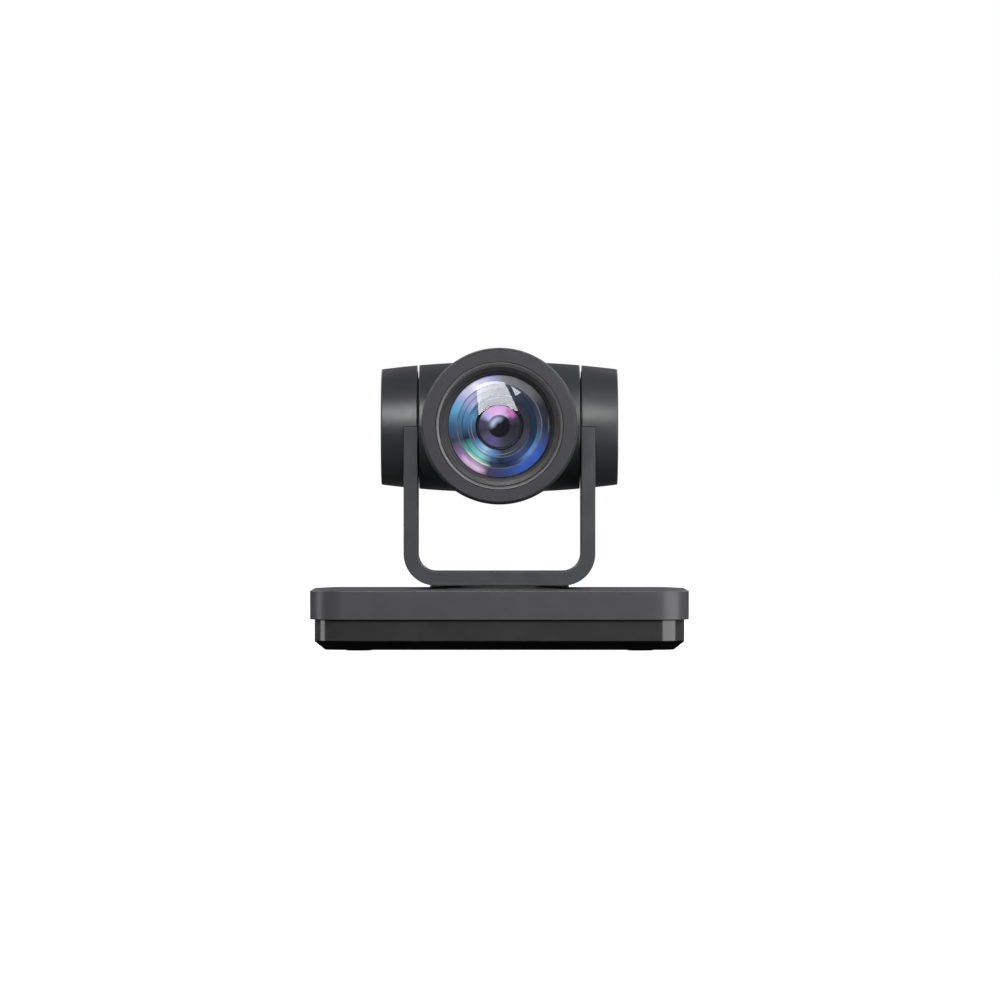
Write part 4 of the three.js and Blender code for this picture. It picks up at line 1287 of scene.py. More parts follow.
@dataclass
class Base:
    """The desk base: cover, pan, smoked band, feet and tripod insert."""

    cover_corner: float = 20.0
    cover_wall: float = 2.4
    top_edge: float = 0.4
    crown_steps: tuple[tuple[float, float], ...] = ((9.0, 0.35), (9.0, 0.15))
    plinth_rise: float = 1.0
    plinth_foot: float = 52.5
    plinth_crown: float = 42.0
    shaft_hole: float = 31.0
    tray_corner: float = 17.5
    chamfer_width: float = 5.8
    chamfer_height: float = 4.75
    floor: float = 2.4
    band_wall: float = 2.0
    gap: float = 0.3
    rim_wall: float = 1.8
    lip: float = 2.0
    louvres: int = 5
    louvre_pitch: float = 1.9
    louvre_height: float = 0.8
    louvre_depth: float = 0.7
    screw: CrossScrew = field(default_factory=lambda: CrossScrew(2.1, 0.9))
    screw_depth: float = 1.5
    screw_places: tuple[tuple[float, float], ...] = (
        *((x, y) for y in (-40, 40) for x in (-60, 60)),
        (-92, 0),
        (92, 0),
    )

    def build(self) -> None:
        """Build every piece of the base."""
        self.cover()
        self.pan()
        self.band()
        self.feet()
        self.insert()

    def bay(self, below: float | None = None) -> Workpiece:
        """Return a block that fills the socket bay and the gap round its panel.

        Args:
            below: A height in millimetres that the block passes, so that the bay is open downwards.

        Returns:
            The block, which runs out past the rear of the camera.
        """
        low, high = span("rear_panel")
        gap = self.gap
        bottom = low.z - gap if below is None else below - 1
        corner = (low.x - gap, low.y - gap, bottom)
        return Workpiece.block("bay", corner, (high.x + gap, high.y + 12, high.z + gap))

    def cover(self) -> None:
        """Make the upper cover with its shallow plinth."""
        low, high = span("base_cover")
        top = high.z - self.plinth_rise
        cover = Workpiece.slab("top_cover", low, (high.x, high.y, top), self.cover_corner, 28)
        for width, rise in self.crown_steps:
            cover.inset(facing(0, 0, 1), width, rise)
        cover.bevel(edges_at(Axis.Z, top), self.top_edge, 4)
        cover.bevel(edges_at(Axis.Z, low.z), 0.35, 3)
        slope = (self.plinth_foot - self.plinth_crown) / self.plinth_rise
        foot = (self.plinth_foot + slope * 0.5, top - 0.5)
        crown = (self.plinth_crown, high.z, 1.2)
        outline = [(0.0, foot[1]), foot, crown, (0.0, high.z)]
        plinth = Workpiece.turned("plinth", Axis.Z, outline, segments=160)
        wall = self.cover_wall
        inner_low = (low.x + wall, low.y + wall, low.z - 1)
        inner_high = (high.x - wall, high.y - wall, top - wall)
        inner = Workpiece.slab("hollow", inner_low, inner_high, self.cover_corner - wall, 20)
        hole = Workpiece.bar("hole", Axis.Z, self.shaft_hole, (top - 5, top + 5), segments=128)
        cover.weld(plinth).cut(inner, hole, self.bay(low.z)).clean()
        cover.fit("base", "grey_shell", COVER_GREY, "base_cover")

    def pan(self) -> None:
        """Make the chamfered bottom pan with its rim, rear corners, foot recesses and sunk screws."""
        low, high = span("base_tray")
        edge = low.z + self.chamfer_height
        lip = 0.15
        plate_low, plate_high = (low.x, low.y, edge - lip), (high.x, high.y, edge)
        pan = Workpiece.slab("bottom_pan", plate_low, plate_high, self.tray_corner, 28)
        pan.inset(facing(0, 0, -1), self.chamfer_width, self.chamfer_height - lip)
        pan.bevel(edges_at(Axis.Z, low.z), 0.4, 3)
        inset = self.band_wall + self.gap
        rim = self._ring_slab("rim", inset, edge - 1, high.z + self.lip)
        band_end = span("ir_band")[1].y + self.gap
        corners = Workpiece.slab("corners", (low.x, low.y, edge - 0.1), high, self.tray_corner, 28)
        corners.cut(Workpiece.block("front", (-120, -90, 0), (120, band_end, 40)))
        hollow = self._ring_slab("hollow", inset + self.rim_wall, low.z + self.floor, high.z + 9)
        pan.weld(rim, corners).cut(hollow, self.bay())
        for node in ("foot_1", "foot_2", "foot_3", "foot_4"):
            foot_low, foot_high = span(node)
            radius = (foot_high.x - foot_low.x) / 2 + self.gap
            pan.cut(Workpiece.bar("recess", Axis.Z, radius, (0, foot_high.z + self.gap), middle_of(node), 48))
        radius = span("tripod_insert")[1].x + self.gap
        pan.cut(Workpiece.bar("hole", Axis.Z, radius, (0, low.z + self.floor + 1), segments=64))
        seat = low.z + self.screw_depth
        for x, y in self.screw_places:
            pan.cut(Workpiece.bar("sink", Axis.Z, self.screw.radius + 0.5, (0, seat), (x, y, 0), 32))
        pan.clean().fit("base", "black_plastic", PAN_BLACK, "base_tray")
        for i, (x, y) in enumerate(self.screw_places, 1):
            head = self.screw.build(f"base_screw_{i}", (x, y, seat), -1, Axis.Z)
            head.fit("base", "steel", DARK_METAL)

    def _ring_slab(self, name: str, inset: float, bottom: float, top: float) -> Workpiece:
        """Return a slab that is the tray's outline moved inwards, between two heights."""
        low, high = span("base_tray")
        corner = self.tray_corner - inset
        return Workpiece.slab(
            name, (low.x + inset, low.y + inset, bottom), (high.x - inset, high.y - inset, top), corner, 24
        )

    def band(self) -> None:
        """Make the smoked band, with fine louvres low on its right side."""
        low, high = span("ir_band")
        rear = span("base_tray")[1].y
        band = Workpiece.slab("smoked_band", low, (high.x, rear, high.z), self.tray_corner, 28)
        hollow = self._ring_slab("hollow", self.band_wall, low.z - 1, high.z + 1)
        band.cut(hollow, Workpiece.block("rear", (-120, high.y, 0), (120, 90, 30)))
        for row in range(self.louvres):
            z = low.z + self.louvre_pitch + row * self.louvre_pitch
            for side in (-1, 1):
                near, far = sorted((side * (high.x - self.louvre_depth), side * (high.x + 1)))
                slot_low = (near, low.y + self.tray_corner, z)
                band.cut(Workpiece.block("louvre", slot_low, (far, high.y - 8, z + self.louvre_height)))
        band.clean().ease(0.2, 2, 50)
        band.fit("base", "smoked_band", SMOKED, "ir_band")

    def feet(self) -> None:
        """Make the four rubber feet with a sunk ring underneath each."""
        low, high = span("foot_1")
        radius, middle = (high.x - low.x) / 2, (low + high) / 2
        groove = low.z + 0.35
        profile = [(0.0, low.z), (radius * 0.45, low.z), (radius * 0.5, groove, 0.1)]
        profile += [(radius * 0.62, groove, 0.1), (radius * 0.67, low.z, 0.1), (radius * 0.92, low.z, 0.3)]
        profile += [(radius, low.z + 0.6, 0.2), (radius, high.z), (0.0, high.z)]
        first = Workpiece.turned("rubber_foot_1", Axis.Z, profile, tuple(middle), 64)
        for i in range(2, 5):
            other_low, other_high = span(f"foot_{i}")
            move = (other_low + other_high) / 2 - middle
            first.copy(f"rubber_foot_{i}", tuple(move)).fit("base", "rubber", RUBBER, f"foot_{i}")
        first.fit("base", "rubber", RUBBER, "foot_1")

    def insert(self) -> None:
        """Make the brass tripod insert, with its flange and the crests of its thread."""
        low, high = span("tripod_insert")
        outer, step, bore, pitch = high.x, 5.6, 3.2, 1.27
        profile: list[ProfilePoint] = [(bore + 0.5, low.z, 0.2), (outer, low.z, 0.3), (outer, 4.6, 0.2)]
        profile += [(step, 4.6), (step, 6.2), (step - 0.4, 6.5), (step - 0.4, 7.4), (step, 7.7)]
        profile += [(step, high.z, 0.3), (bore, high.z)]
        place = high.z - 0.2
        while place - pitch > low.z + 0.5:
            profile += [(bore + 0.45, place - pitch / 2), (bore, place - pitch)]
            place -= pitch
        bush = Workpiece.turned("tripod_bush", Axis.Z, profile, segments=64)
        bush.fit("base", "brass", BRASS, "tripod_insert")


# ---------------------------------------------------------------------- sockets


@dataclass
class RearPanel:
    """The sunk rear panel and its row of sockets."""

    wall: float = 1.2
    proud: float = 0.8
    corner: float = 1.0
    clearance: float = 0.3
    round_holes: tuple[tuple[str, float], ...] = (
        ("power_jack", 4.6),
        ("sdi_connector", 6.6),
        ("audio_jack", 3.3),
        ("serial_out", 5.4),
        ("serial_in", 5.4),
        ("address_dial", 3.9),
    )
    box_sockets: tuple[str, ...] = ("rj45_jack", "usb_port", "hdmi_port")
    network_contacts: int = 8
    network_pitch: float = 1.02
    serial_contacts: int = 8
    serial_circle: float = 2.2
    knurls: int = 16
    knurl_circle: float = 3.55
    screw: CrossScrew = field(default_factory=lambda: CrossScrew(1.8, 0.8))

    def build(self) -> None:
        """Build the panel and its sockets."""
        self.panel()
        self.network()
        self.flat_socket("usb_port", "usb_socket", (12.0, 4.8), 14.0, (11.0, 1.8), 4)
        self.flat_socket("hdmi_port", "video_socket", (14.0, 4.5), 12.0, (11.6, 1.0), 9)
        self.power()
        self.coaxial()
        self.round_socket("audio_jack", "audio_socket", 3.0, 1.8, 13.0, 3.2)
        self.serial("serial_in")
        self.serial("serial_out")
        self.dial()

    def rear_face(self) -> float:
        """Return where the sockets' rear faces lie, in millimetres."""
        return span("rear_panel")[0].y + self.wall + self.proud

    def panel(self) -> None:
        """Make the panel: an open tray, pierced for the sockets, with four screws in its corners."""
        low, high = span("rear_panel")
        wall = self.wall
        panel = Workpiece.block("socket_panel", low, high)
        panel.bevel(edges_along(Axis.Y), self.corner, 4)
        inner_low = (low.x + wall, low.y + wall, low.z + wall)
        inner = Workpiece.block("inside", inner_low, (high.x - wall, high.y + 2, high.z - wall))
        inner.bevel(edges_along(Axis.Y), self.corner * 0.6, 4)
        panel.cut(inner)
        through = (low.y - 1, low.y + wall + 1)
        for node, radius in self.round_holes:
            panel.cut(Workpiece.bar("hole", Axis.Y, radius, through, middle_of(node), 48))
        for node in self.box_sockets:
            node_low, node_high = span(node)
            gap = self.clearance
            hole_low = (node_low.x - gap, through[0], node_low.z - gap)
            hole = Workpiece.block("hole", hole_low, (node_high.x + gap, through[1], node_high.z + gap))
            panel.cut(hole.bevel(edges_along(Axis.Y), 0.3, 2))
        centre = middle_of("power_jack")[2]
        slot = Workpiece.block("slot", (71.0, through[0], centre - 3.5), (74.0, through[1], centre + 3.5))
        panel.cut(slot.bevel(edges_along(Axis.Y), 1.2, 4))
        panel.clean().ease(0.15, 2, 50)
        panel.fit("base", "steel", PANEL_STEEL, "rear_panel")
        number = 0
        for x in (low.x + 4.0, high.x - 4.0):
            for z in (low.z + 4.2, high.z - 4.2):
                number += 1
                head = self.screw.build(f"panel_screw_{number}", (x, low.y + wall, z), 1, Axis.Y)
                head.fit("base", "steel", ROUND_STEEL)

    def network(self) -> None:
        """Make the network socket: a plated shell with a stepped mouth, a latch notch and eight contacts."""
        low, high = span("rj45_jack")
        middle = (low + high) / 2
        shell = Workpiece.block("network_socket", low, high)
        shell.bevel(edges_along(Axis.Y), 0.5, 3)
        x, z, outside = middle.x, middle.z, high.y + 1
        mouth = Workpiece.block("mouth", (x - 6, low.y + 4, z - 3.4), (x + 6, outside, z + 4.3))
        notch = Workpiece.block("notch", (x - 3.2, low.y + 6, z - 4.9), (x + 3.2, outside, z - 3))
        shell.cut(mouth, notch).ease(0.12, 2, 50)
        shell.fit("base", "steel", ROUND_STEEL, "rj45_jack")
        for i in range(self.network_contacts):
            x = middle.x + (i - (self.network_contacts - 1) / 2) * self.network_pitch
            wire = Workpiece.block("wire", (x - 0.2, low.y + 4.2, z + 2.4), (x + 0.2, high.y - 3.5, z + 2.8))
            wire.swing(-14, Axis.X, (x, low.y + 5, z + 2.6))
            wire.obj.name = f"network_contact_{i + 1}"
            wire.bevel(edges_along(Axis.Y), 0.08, 2)
            wire.fit("base", "brass", GOLD)

    def flat_socket(
        self,
        node: str,
        name: str,
        mouth: tuple[float, float],
        length: float,
        tongue: tuple[float, float],
        pins: int,
    ) -> None:
        """Make a flat socket: a folded shell with a tongue that carries flat contacts.

        Args:
            node: The node that it stands for.
            name: Name of the shell.
            mouth: Width and height of the mouth, in millimetres.
            length: The socket's length, in millimetres.
            tongue: Width and thickness of the tongue, in millimetres.
            pins: Number of contacts on the tongue.
        """
        low, high = span(node)
        middle = (low + high) / 2
        rear = high.y
        shell = Workpiece.block(name, low, high)
        shell.bevel(edges_along(Axis.Y), 0.6, 3)
        half = (mouth[0] / 2, mouth[1] / 2)
        cavity = Workpiece.beam("cavity", middle, half, (rear - length + 4, rear + 1))
        cavity.bevel(edges_along(Axis.Y), 0.4, 3)
        shell.cut(cavity).ease(0.1, 2, 50)
        shell.fit("base", "steel", ROUND_STEEL, node)
        across, thick = tongue
        start, end = rear - length + 3.5, rear - 1.2
        blade = Workpiece.beam(f"{name}_tongue", middle, (across / 2, thick / 2), (start, end))
        blade.ease(0.15, 2)
        blade.fit("base", "black_plastic", BLACK_NYLON)
        pitch = across / (pins + 1)
        wide = min(0.55, pitch * 0.3)
        face = middle.z - thick / 2
        for i in range(pins):
            x = middle.x + (i - (pins - 1) / 2) * pitch
            pin_low, pin_high = (x - wide, start + 0.5, face - 0.12), (x + wide, end - 0.7, face + 0.1)
            pin = Workpiece.block(f"{name}_contact_{i + 1}", pin_low, pin_high)
            pin.bevel(edges_along(Axis.Y), 0.05, 2)
            pin.fit("base", "brass", GOLD)

    def round_socket(
        self, node: str, name: str, nose: float, mouth: float, length: float, half: float
    ) -> Workpiece:
        """Make a round socket with a square body.

        Args:
            node: The node that it stands for.
            name: Name of the piece.
            nose: Radius of its round nose, in millimetres.
            mouth: Radius of its mouth, in millimetres.
            length: Its length, in millimetres.
            half: Half the width of its body, in millimetres.

        Returns:
            The socket.
        """
        middle, rear = middle_of(node), self.rear_face()
        profile = [(0.0, rear - 8), (nose, rear - 8), (nose, rear, 0.3), (mouth + 0.4, rear, 0.2)]
        profile += [(mouth, rear - 0.5, 0.2), (mouth, rear - 7.2), (0.0, rear - 7.2)]
        made = Workpiece.turned(name, Axis.Y, profile, middle, 64)
        body = Workpiece.beam("body", middle, (half, half), (rear - length, rear - 3.2))
        body.cut(Workpiece.bar("bore", Axis.Y, mouth + 0.2, (rear - 7.2, rear), middle, 48))
        body.bevel(edges_along(Axis.Y), 0.4, 2)
        made.weld(body)
        return made.fit("base", "black_plastic", BLACK_NYLON, node)

    def power(self) -> None:
        """Make the power socket and the pin in its mouth."""
        self.round_socket("power_jack", "power_socket", 4.2, 3.2, 14.0, 4.6)
        middle, rear = middle_of("power_jack"), self.rear_face()
        profile = [(0.0, rear - 7.2), (1.0, rear - 7.2), (1.0, rear - 1.2, 0.5), (0.0, rear - 1.0)]
        Workpiece.turned("power_pin", Axis.Y, profile, middle, 32).fit("base", "steel", ROUND_STEEL)

    def coaxial(self) -> None:
        """Make the bayonet jack with its lugs, its insulator and its centre contact."""
        middle, rear = middle_of("sdi_connector"), self.rear_face()
        profile: list[ProfilePoint] = [(3.4, rear - 4), (6.2, rear - 4), (6.2, rear + 1.2, 0.3)]
        profile += [(4.8, rear + 1.2), (4.8, rear + 2.2), (4.6, rear + 2.5), (4.6, rear + 3.6)]
        profile += [(4.8, rear + 3.9), (4.8, rear + 9, 0.4), (3.4, rear + 9, 0.3)]
        jack = Workpiece.turned("coaxial_jack", Axis.Y, profile, middle, 64)
        lug_at = (middle[0], rear + 6, middle[2])
        lugs = Workpiece.bar("lugs", Axis.Z, 1.0, (middle[2] - 5.8, middle[2] + 5.8), lug_at, 32)
        lugs.cut(Workpiece.bar("bore", Axis.Y, 4.0, (rear, rear + 10), middle, 48))
        body = Workpiece.beam("body", middle, (5, 5), (rear - 12, rear - 3.2))
        jack.weld(lugs, body.bevel(edges_along(Axis.Y), 0.5, 2))
        jack.fit("base", "steel", ROUND_STEEL, "sdi_connector")
        sleeve = [(1.3, rear - 3.2), (3.35, rear - 3.2), (3.35, rear + 4.5, 0.3), (1.3, rear + 4.5, 0.2)]
        Workpiece.turned("coaxial_insulator", Axis.Y, sleeve, middle, 48).fit("base", "gear_plastic", ACETAL)
        pin = [(0.0, rear - 3.2), (1.0, rear - 3.2), (1.0, rear + 6.6, 0.4), (0.0, rear + 7.0)]
        Workpiece.turned("coaxial_contact", Axis.Y, pin, middle, 32).fit("base", "brass", GOLD)

    def serial(self, node: str) -> None:
        """Make one serial socket: a ring-shaped mouth round a plug of contact holes.

        Args:
            node: The node that it stands for.
        """
        middle, rear = middle_of(node), self.rear_face()
        profile: list[ProfilePoint] = [(0.0, rear - 8), (5.1, rear - 8), (5.1, rear, 0.3), (4.5, rear, 0.1)]
        profile += [(4.4, rear - 6), (3.4, rear - 6), (3.4, rear - 0.4, 0.3), (0.0, rear - 0.4)]
        made = Workpiece.turned(f"{node}_socket", Axis.Y, profile, middle, 64)
        x, _, z = middle
        for i in range(self.serial_contacts):
            angle = math.tau * (i + 0.5) / self.serial_contacts
            at = (x + self.serial_circle * math.cos(angle), 0.0, z + self.serial_circle * math.sin(angle))
            made.cut(Workpiece.bar("contact", Axis.Y, 0.4, (rear - 5, rear + 1), at, 16))
        key = Workpiece.block("key", (x - 1, rear - 5, z + 3), (x + 1, rear + 1, z + 4.7))
        body = Workpiece.beam("body", middle, (5, 5.2), (rear - 12, rear - 7.5))
        made.cut(key).weld(body.bevel(edges_along(Axis.Y), 0.5, 2))
        made.fit("base", "black_plastic", BLACK_NYLON, node)

    def dial(self) -> None:
        """Make the address dial with its driver slot, an arrow notch and a knurled rim."""
        middle, rear = middle_of("address_dial"), self.rear_face()
        face = rear + 0.6
        profile: list[ProfilePoint] = [(0.0, rear - 6), (1.2, rear - 6), (1.2, rear - 3.6), (3.4, rear - 3.6)]
        profile += [(3.4, face, 0.3), (0.0, face)]
        dial = Workpiece.turned("address_knob", Axis.Y, profile, middle, 64)
        x, _, z = middle
        dial.cut(Workpiece.beam("slot", middle, (2.6, 0.5), (face - 1.2, face + 1)))
        dial.cut(Workpiece.block("arrow", (x + 1.6, face - 0.7, z - 0.9), (x + 2.6, face + 1, z + 0.9)))
        for i in range(self.knurls):
            angle = math.tau * i / self.knurls
            at = (x + self.knurl_circle * math.cos(angle), 0.0, z + self.knurl_circle * math.sin(angle))
            dial.cut(Workpiece.bar("knurl", Axis.Y, 0.3, (rear - 2, face + 1), at, 12))
        dial.fit("dial", "black_plastic", DIAL_BLACK, "address_dial")


# ---------------------------------------------------------------------- yoke


@dataclass
class Yoke:
    """The turning yoke: its disc, its U-shaped arm and the strip that closes the wire groove."""

    wall: float = 7.8
    outer_corner: float = 17.8
    arm_end: float = 31.3
    groove_half: float = 22.0
    groove_depth: float = 4.2
    groove_top: float = 34.0
    liner_wall: float = 1.5
    gap: float = 0.3
    edge: float = 0.7
    bearing_seat: float = 11.2
    motor_pocket: float = 8.8
    wire_hole: float = 8.0

    def build(self) -> None:
        """Build the disc, the arm and the strip."""
        self.disc()
        self.arm()
        self.strip()

    def disc(self) -> None:
        """Make the disc that the arm stands on, with its boss."""
        low, high = span("turntable")
        bore, boss, face = self.wire_hole, 24.0, 34.6
        profile: list[ProfilePoint] = [(bore, low.z, 0.3), (boss, low.z, 0.4), (boss, face)]
        profile += [(high.x, face, 0.15), (high.x, high.z, 0.35), (bore, high.z)]
        disc = Workpiece.turned("yoke_disc", Axis.Z, profile, segments=160)
        disc.fit("yoke", "black_plastic", BLACK_NYLON, "turntable")

    def _layer(self, name: str, near: float, far: float, half_depth: float, top: float) -> Workpiece:
        """Return a layer of the U, between two depths below its inner face.

        Args:
            name: Name of the piece.
            near: Depth of the layer's inner side, in millimetres.
            far: Depth of its outer side, in millimetres.
            half_depth: Half its depth in Y, in millimetres.
            top: Its highest place, in millimetres.

        Returns:
            The layer.
        """
        low, high = span("yoke_frame")
        inner, floor, corner = high.x - self.wall, low.z + self.wall, self.outer_corner - self.wall
        layer = vertical_u(name, inner + far, half_depth, floor - far, top, corner + far)
        core = vertical_u("core", inner + near, half_depth + 2, floor - near, top + 2, corner + near)
        return layer.cut(core)

    def arm(self) -> None:
        """Make the U-shaped arm with its round ends, its groove and the seats of the tilt drive."""
        low, high = span("yoke_frame")
        inner = high.x - self.wall
        arm = self._layer("yoke_arm", 0.0, self.wall, high.y, LENS_CENTRE[2] - self.gap)
        for side in (-1, 1):
            ends = tuple(sorted((side * inner, side * high.x)))
            arm.weld(Workpiece.bar("end", Axis.X, self.arm_end, ends, LENS_CENTRE, 128))
        arm.clean().ease(self.edge, 4, 50)
        groove_top = LENS_CENTRE[2] - self.groove_top
        arm.cut(self._layer("groove", -1.0, self.groove_depth, self.groove_half, groove_top))
        motor_z = middle_of("tilt_pinion")[2]
        for side in (-1, 1):
            face = side * (inner + self.liner_wall)
            near, far = sorted((face, side * (inner + self.groove_depth)))
            arm.cut(Workpiece.block("riser", (near, -8, groove_top - 1), (far, 8, LENS_CENTRE[2] - 20)))
            seat = tuple(sorted((side * (inner - 1), side * (high.x + 1))))
            arm.cut(Workpiece.bar("seat", Axis.X, self.bearing_seat, seat, LENS_CENTRE, 64))
            pocket = tuple(sorted((face, side * (high.x + 1))))
            arm.cut(Workpiece.bar("pocket", Axis.X, self.motor_pocket, pocket, (0, 0, motor_z), 64))
        through = (low.z - 1, low.z + self.wall + 1)
        arm.cut(Workpiece.bar("wires", Axis.Z, self.wire_hole, through, segments=64))
        arm.clean().fit("yoke", "yoke_paint", YOKE_PAINT, "yoke_frame")

    def strip(self) -> None:
        """Make the strip that closes the groove."""
        top = span("yoke_liner")[1].z
        strip = self._layer("groove_strip", 0.0, self.liner_wall, self.groove_half - self.gap, top)
        strip.clean().ease(0.2, 2, 50)
        strip.fit("yoke", "yoke_paint", YOKE_PAINT, "yoke_liner")


# ---------------------------------------------------------------------- head


@dataclass
class Drum:
    """The barrel form that the head and the arms' housings share."""

    radius: float = 36.65
    bulge: float = 1024.0

    def at(self, x: float) -> float:
        """Return the drum's radius at a distance from its middle, in millimetres."""
        return self.radius - x * x / self.bulge

    def line(self, start: float, end: float, offset: float = 0.0, steps: int = 12) -> list[ProfilePoint]:
        """Return the drum's outline between two places.

        Args:
            start: First place along X, in millimetres.
            end: Last place along X, in millimetres.
            offset: How far outside the drum the line runs, in millimetres.
            steps: Number of pieces of the line.

        Returns:
            Profile points.
        """
        places = [start + (end - start) * i / steps for i in range(steps + 1)]
        return [(self.at(x) + offset, x) for x in places]


@dataclass
class EndHousings:
    """The two shells over the arms' round ends, with their dished covers."""

    drum: Drum = field(default_factory=Drum)
    wall: float = 2.3
    gap: float = 0.3
    ledge: float = 0.9
    yoke_half: float = 53.4
    arm_end: float = 31.3

    def build(self) -> None:
        """Build both housings and both covers."""
        low, high = span("right_end_housing")
        cover_low, cover_high = span("right_end_cover")
        seat = (cover_high.y - cover_low.y) / 2
        inner, outer, cover_x = low.x, high.x, cover_low.x
        profile: list[ProfilePoint] = [(*self.drum.line(inner, inner + 0.01, steps=1)[0], 0.45)]
        profile += self.drum.line(inner + 1, outer - 1.2)
        profile += [(self.drum.at(outer), outer, 1.1), (seat + self.gap, outer, 0.35)]
        profile += [(seat + self.gap, cover_x - self.gap), (seat - self.ledge, cover_x - self.gap)]
        behind, side, bore = cover_x - 1.7, self.yoke_half + self.gap, self.arm_end + self.gap
        profile += [(seat - self.ledge, behind), (self.drum.at(outer) - self.wall - 1, behind, 1.5)]
        profile += [(self.drum.at(self.yoke_half) - self.wall, side), (bore, side), (bore, inner, 0.3)]
        housing = Workpiece.turned("right_housing", Axis.X, profile, LENS_CENTRE, 160)
        axis_z = LENS_CENTRE[2]
        space = Workpiece.block("arm_space", (inner - 1, -42, axis_z - 44), (side, 42, axis_z))
        housing.cut(space).clean()
        other = housing.mirrored("left_housing")
        housing.fit("yoke", "head_shell", HEAD_PAINT, "right_end_housing")
        other.fit("yoke", "head_shell", HEAD_PAINT, "left_end_housing")

        face = cover_high.x
        groove = face - 0.45
        disc: list[ProfilePoint] = [(0.0, cover_x), (seat, cover_x), (seat, face, 0.5)]
        disc += [(seat - 2.4, face, 0.3), (seat - 2.6, groove, 0.2), (seat - 3.4, groove, 0.2)]
        disc += [(seat - 3.6, face, 0.3), (seat * 0.4, face - 0.12), (0.0, face - 0.2)]
        cover = Workpiece.turned("right_cover", Axis.X, disc, LENS_CENTRE, 160)
        other = cover.mirrored("left_cover")
        cover.fit("yoke", "head_shell", HEAD_PAINT, "right_end_cover")
        other.fit("yoke", "head_shell", HEAD_PAINT, "left_end_cover")


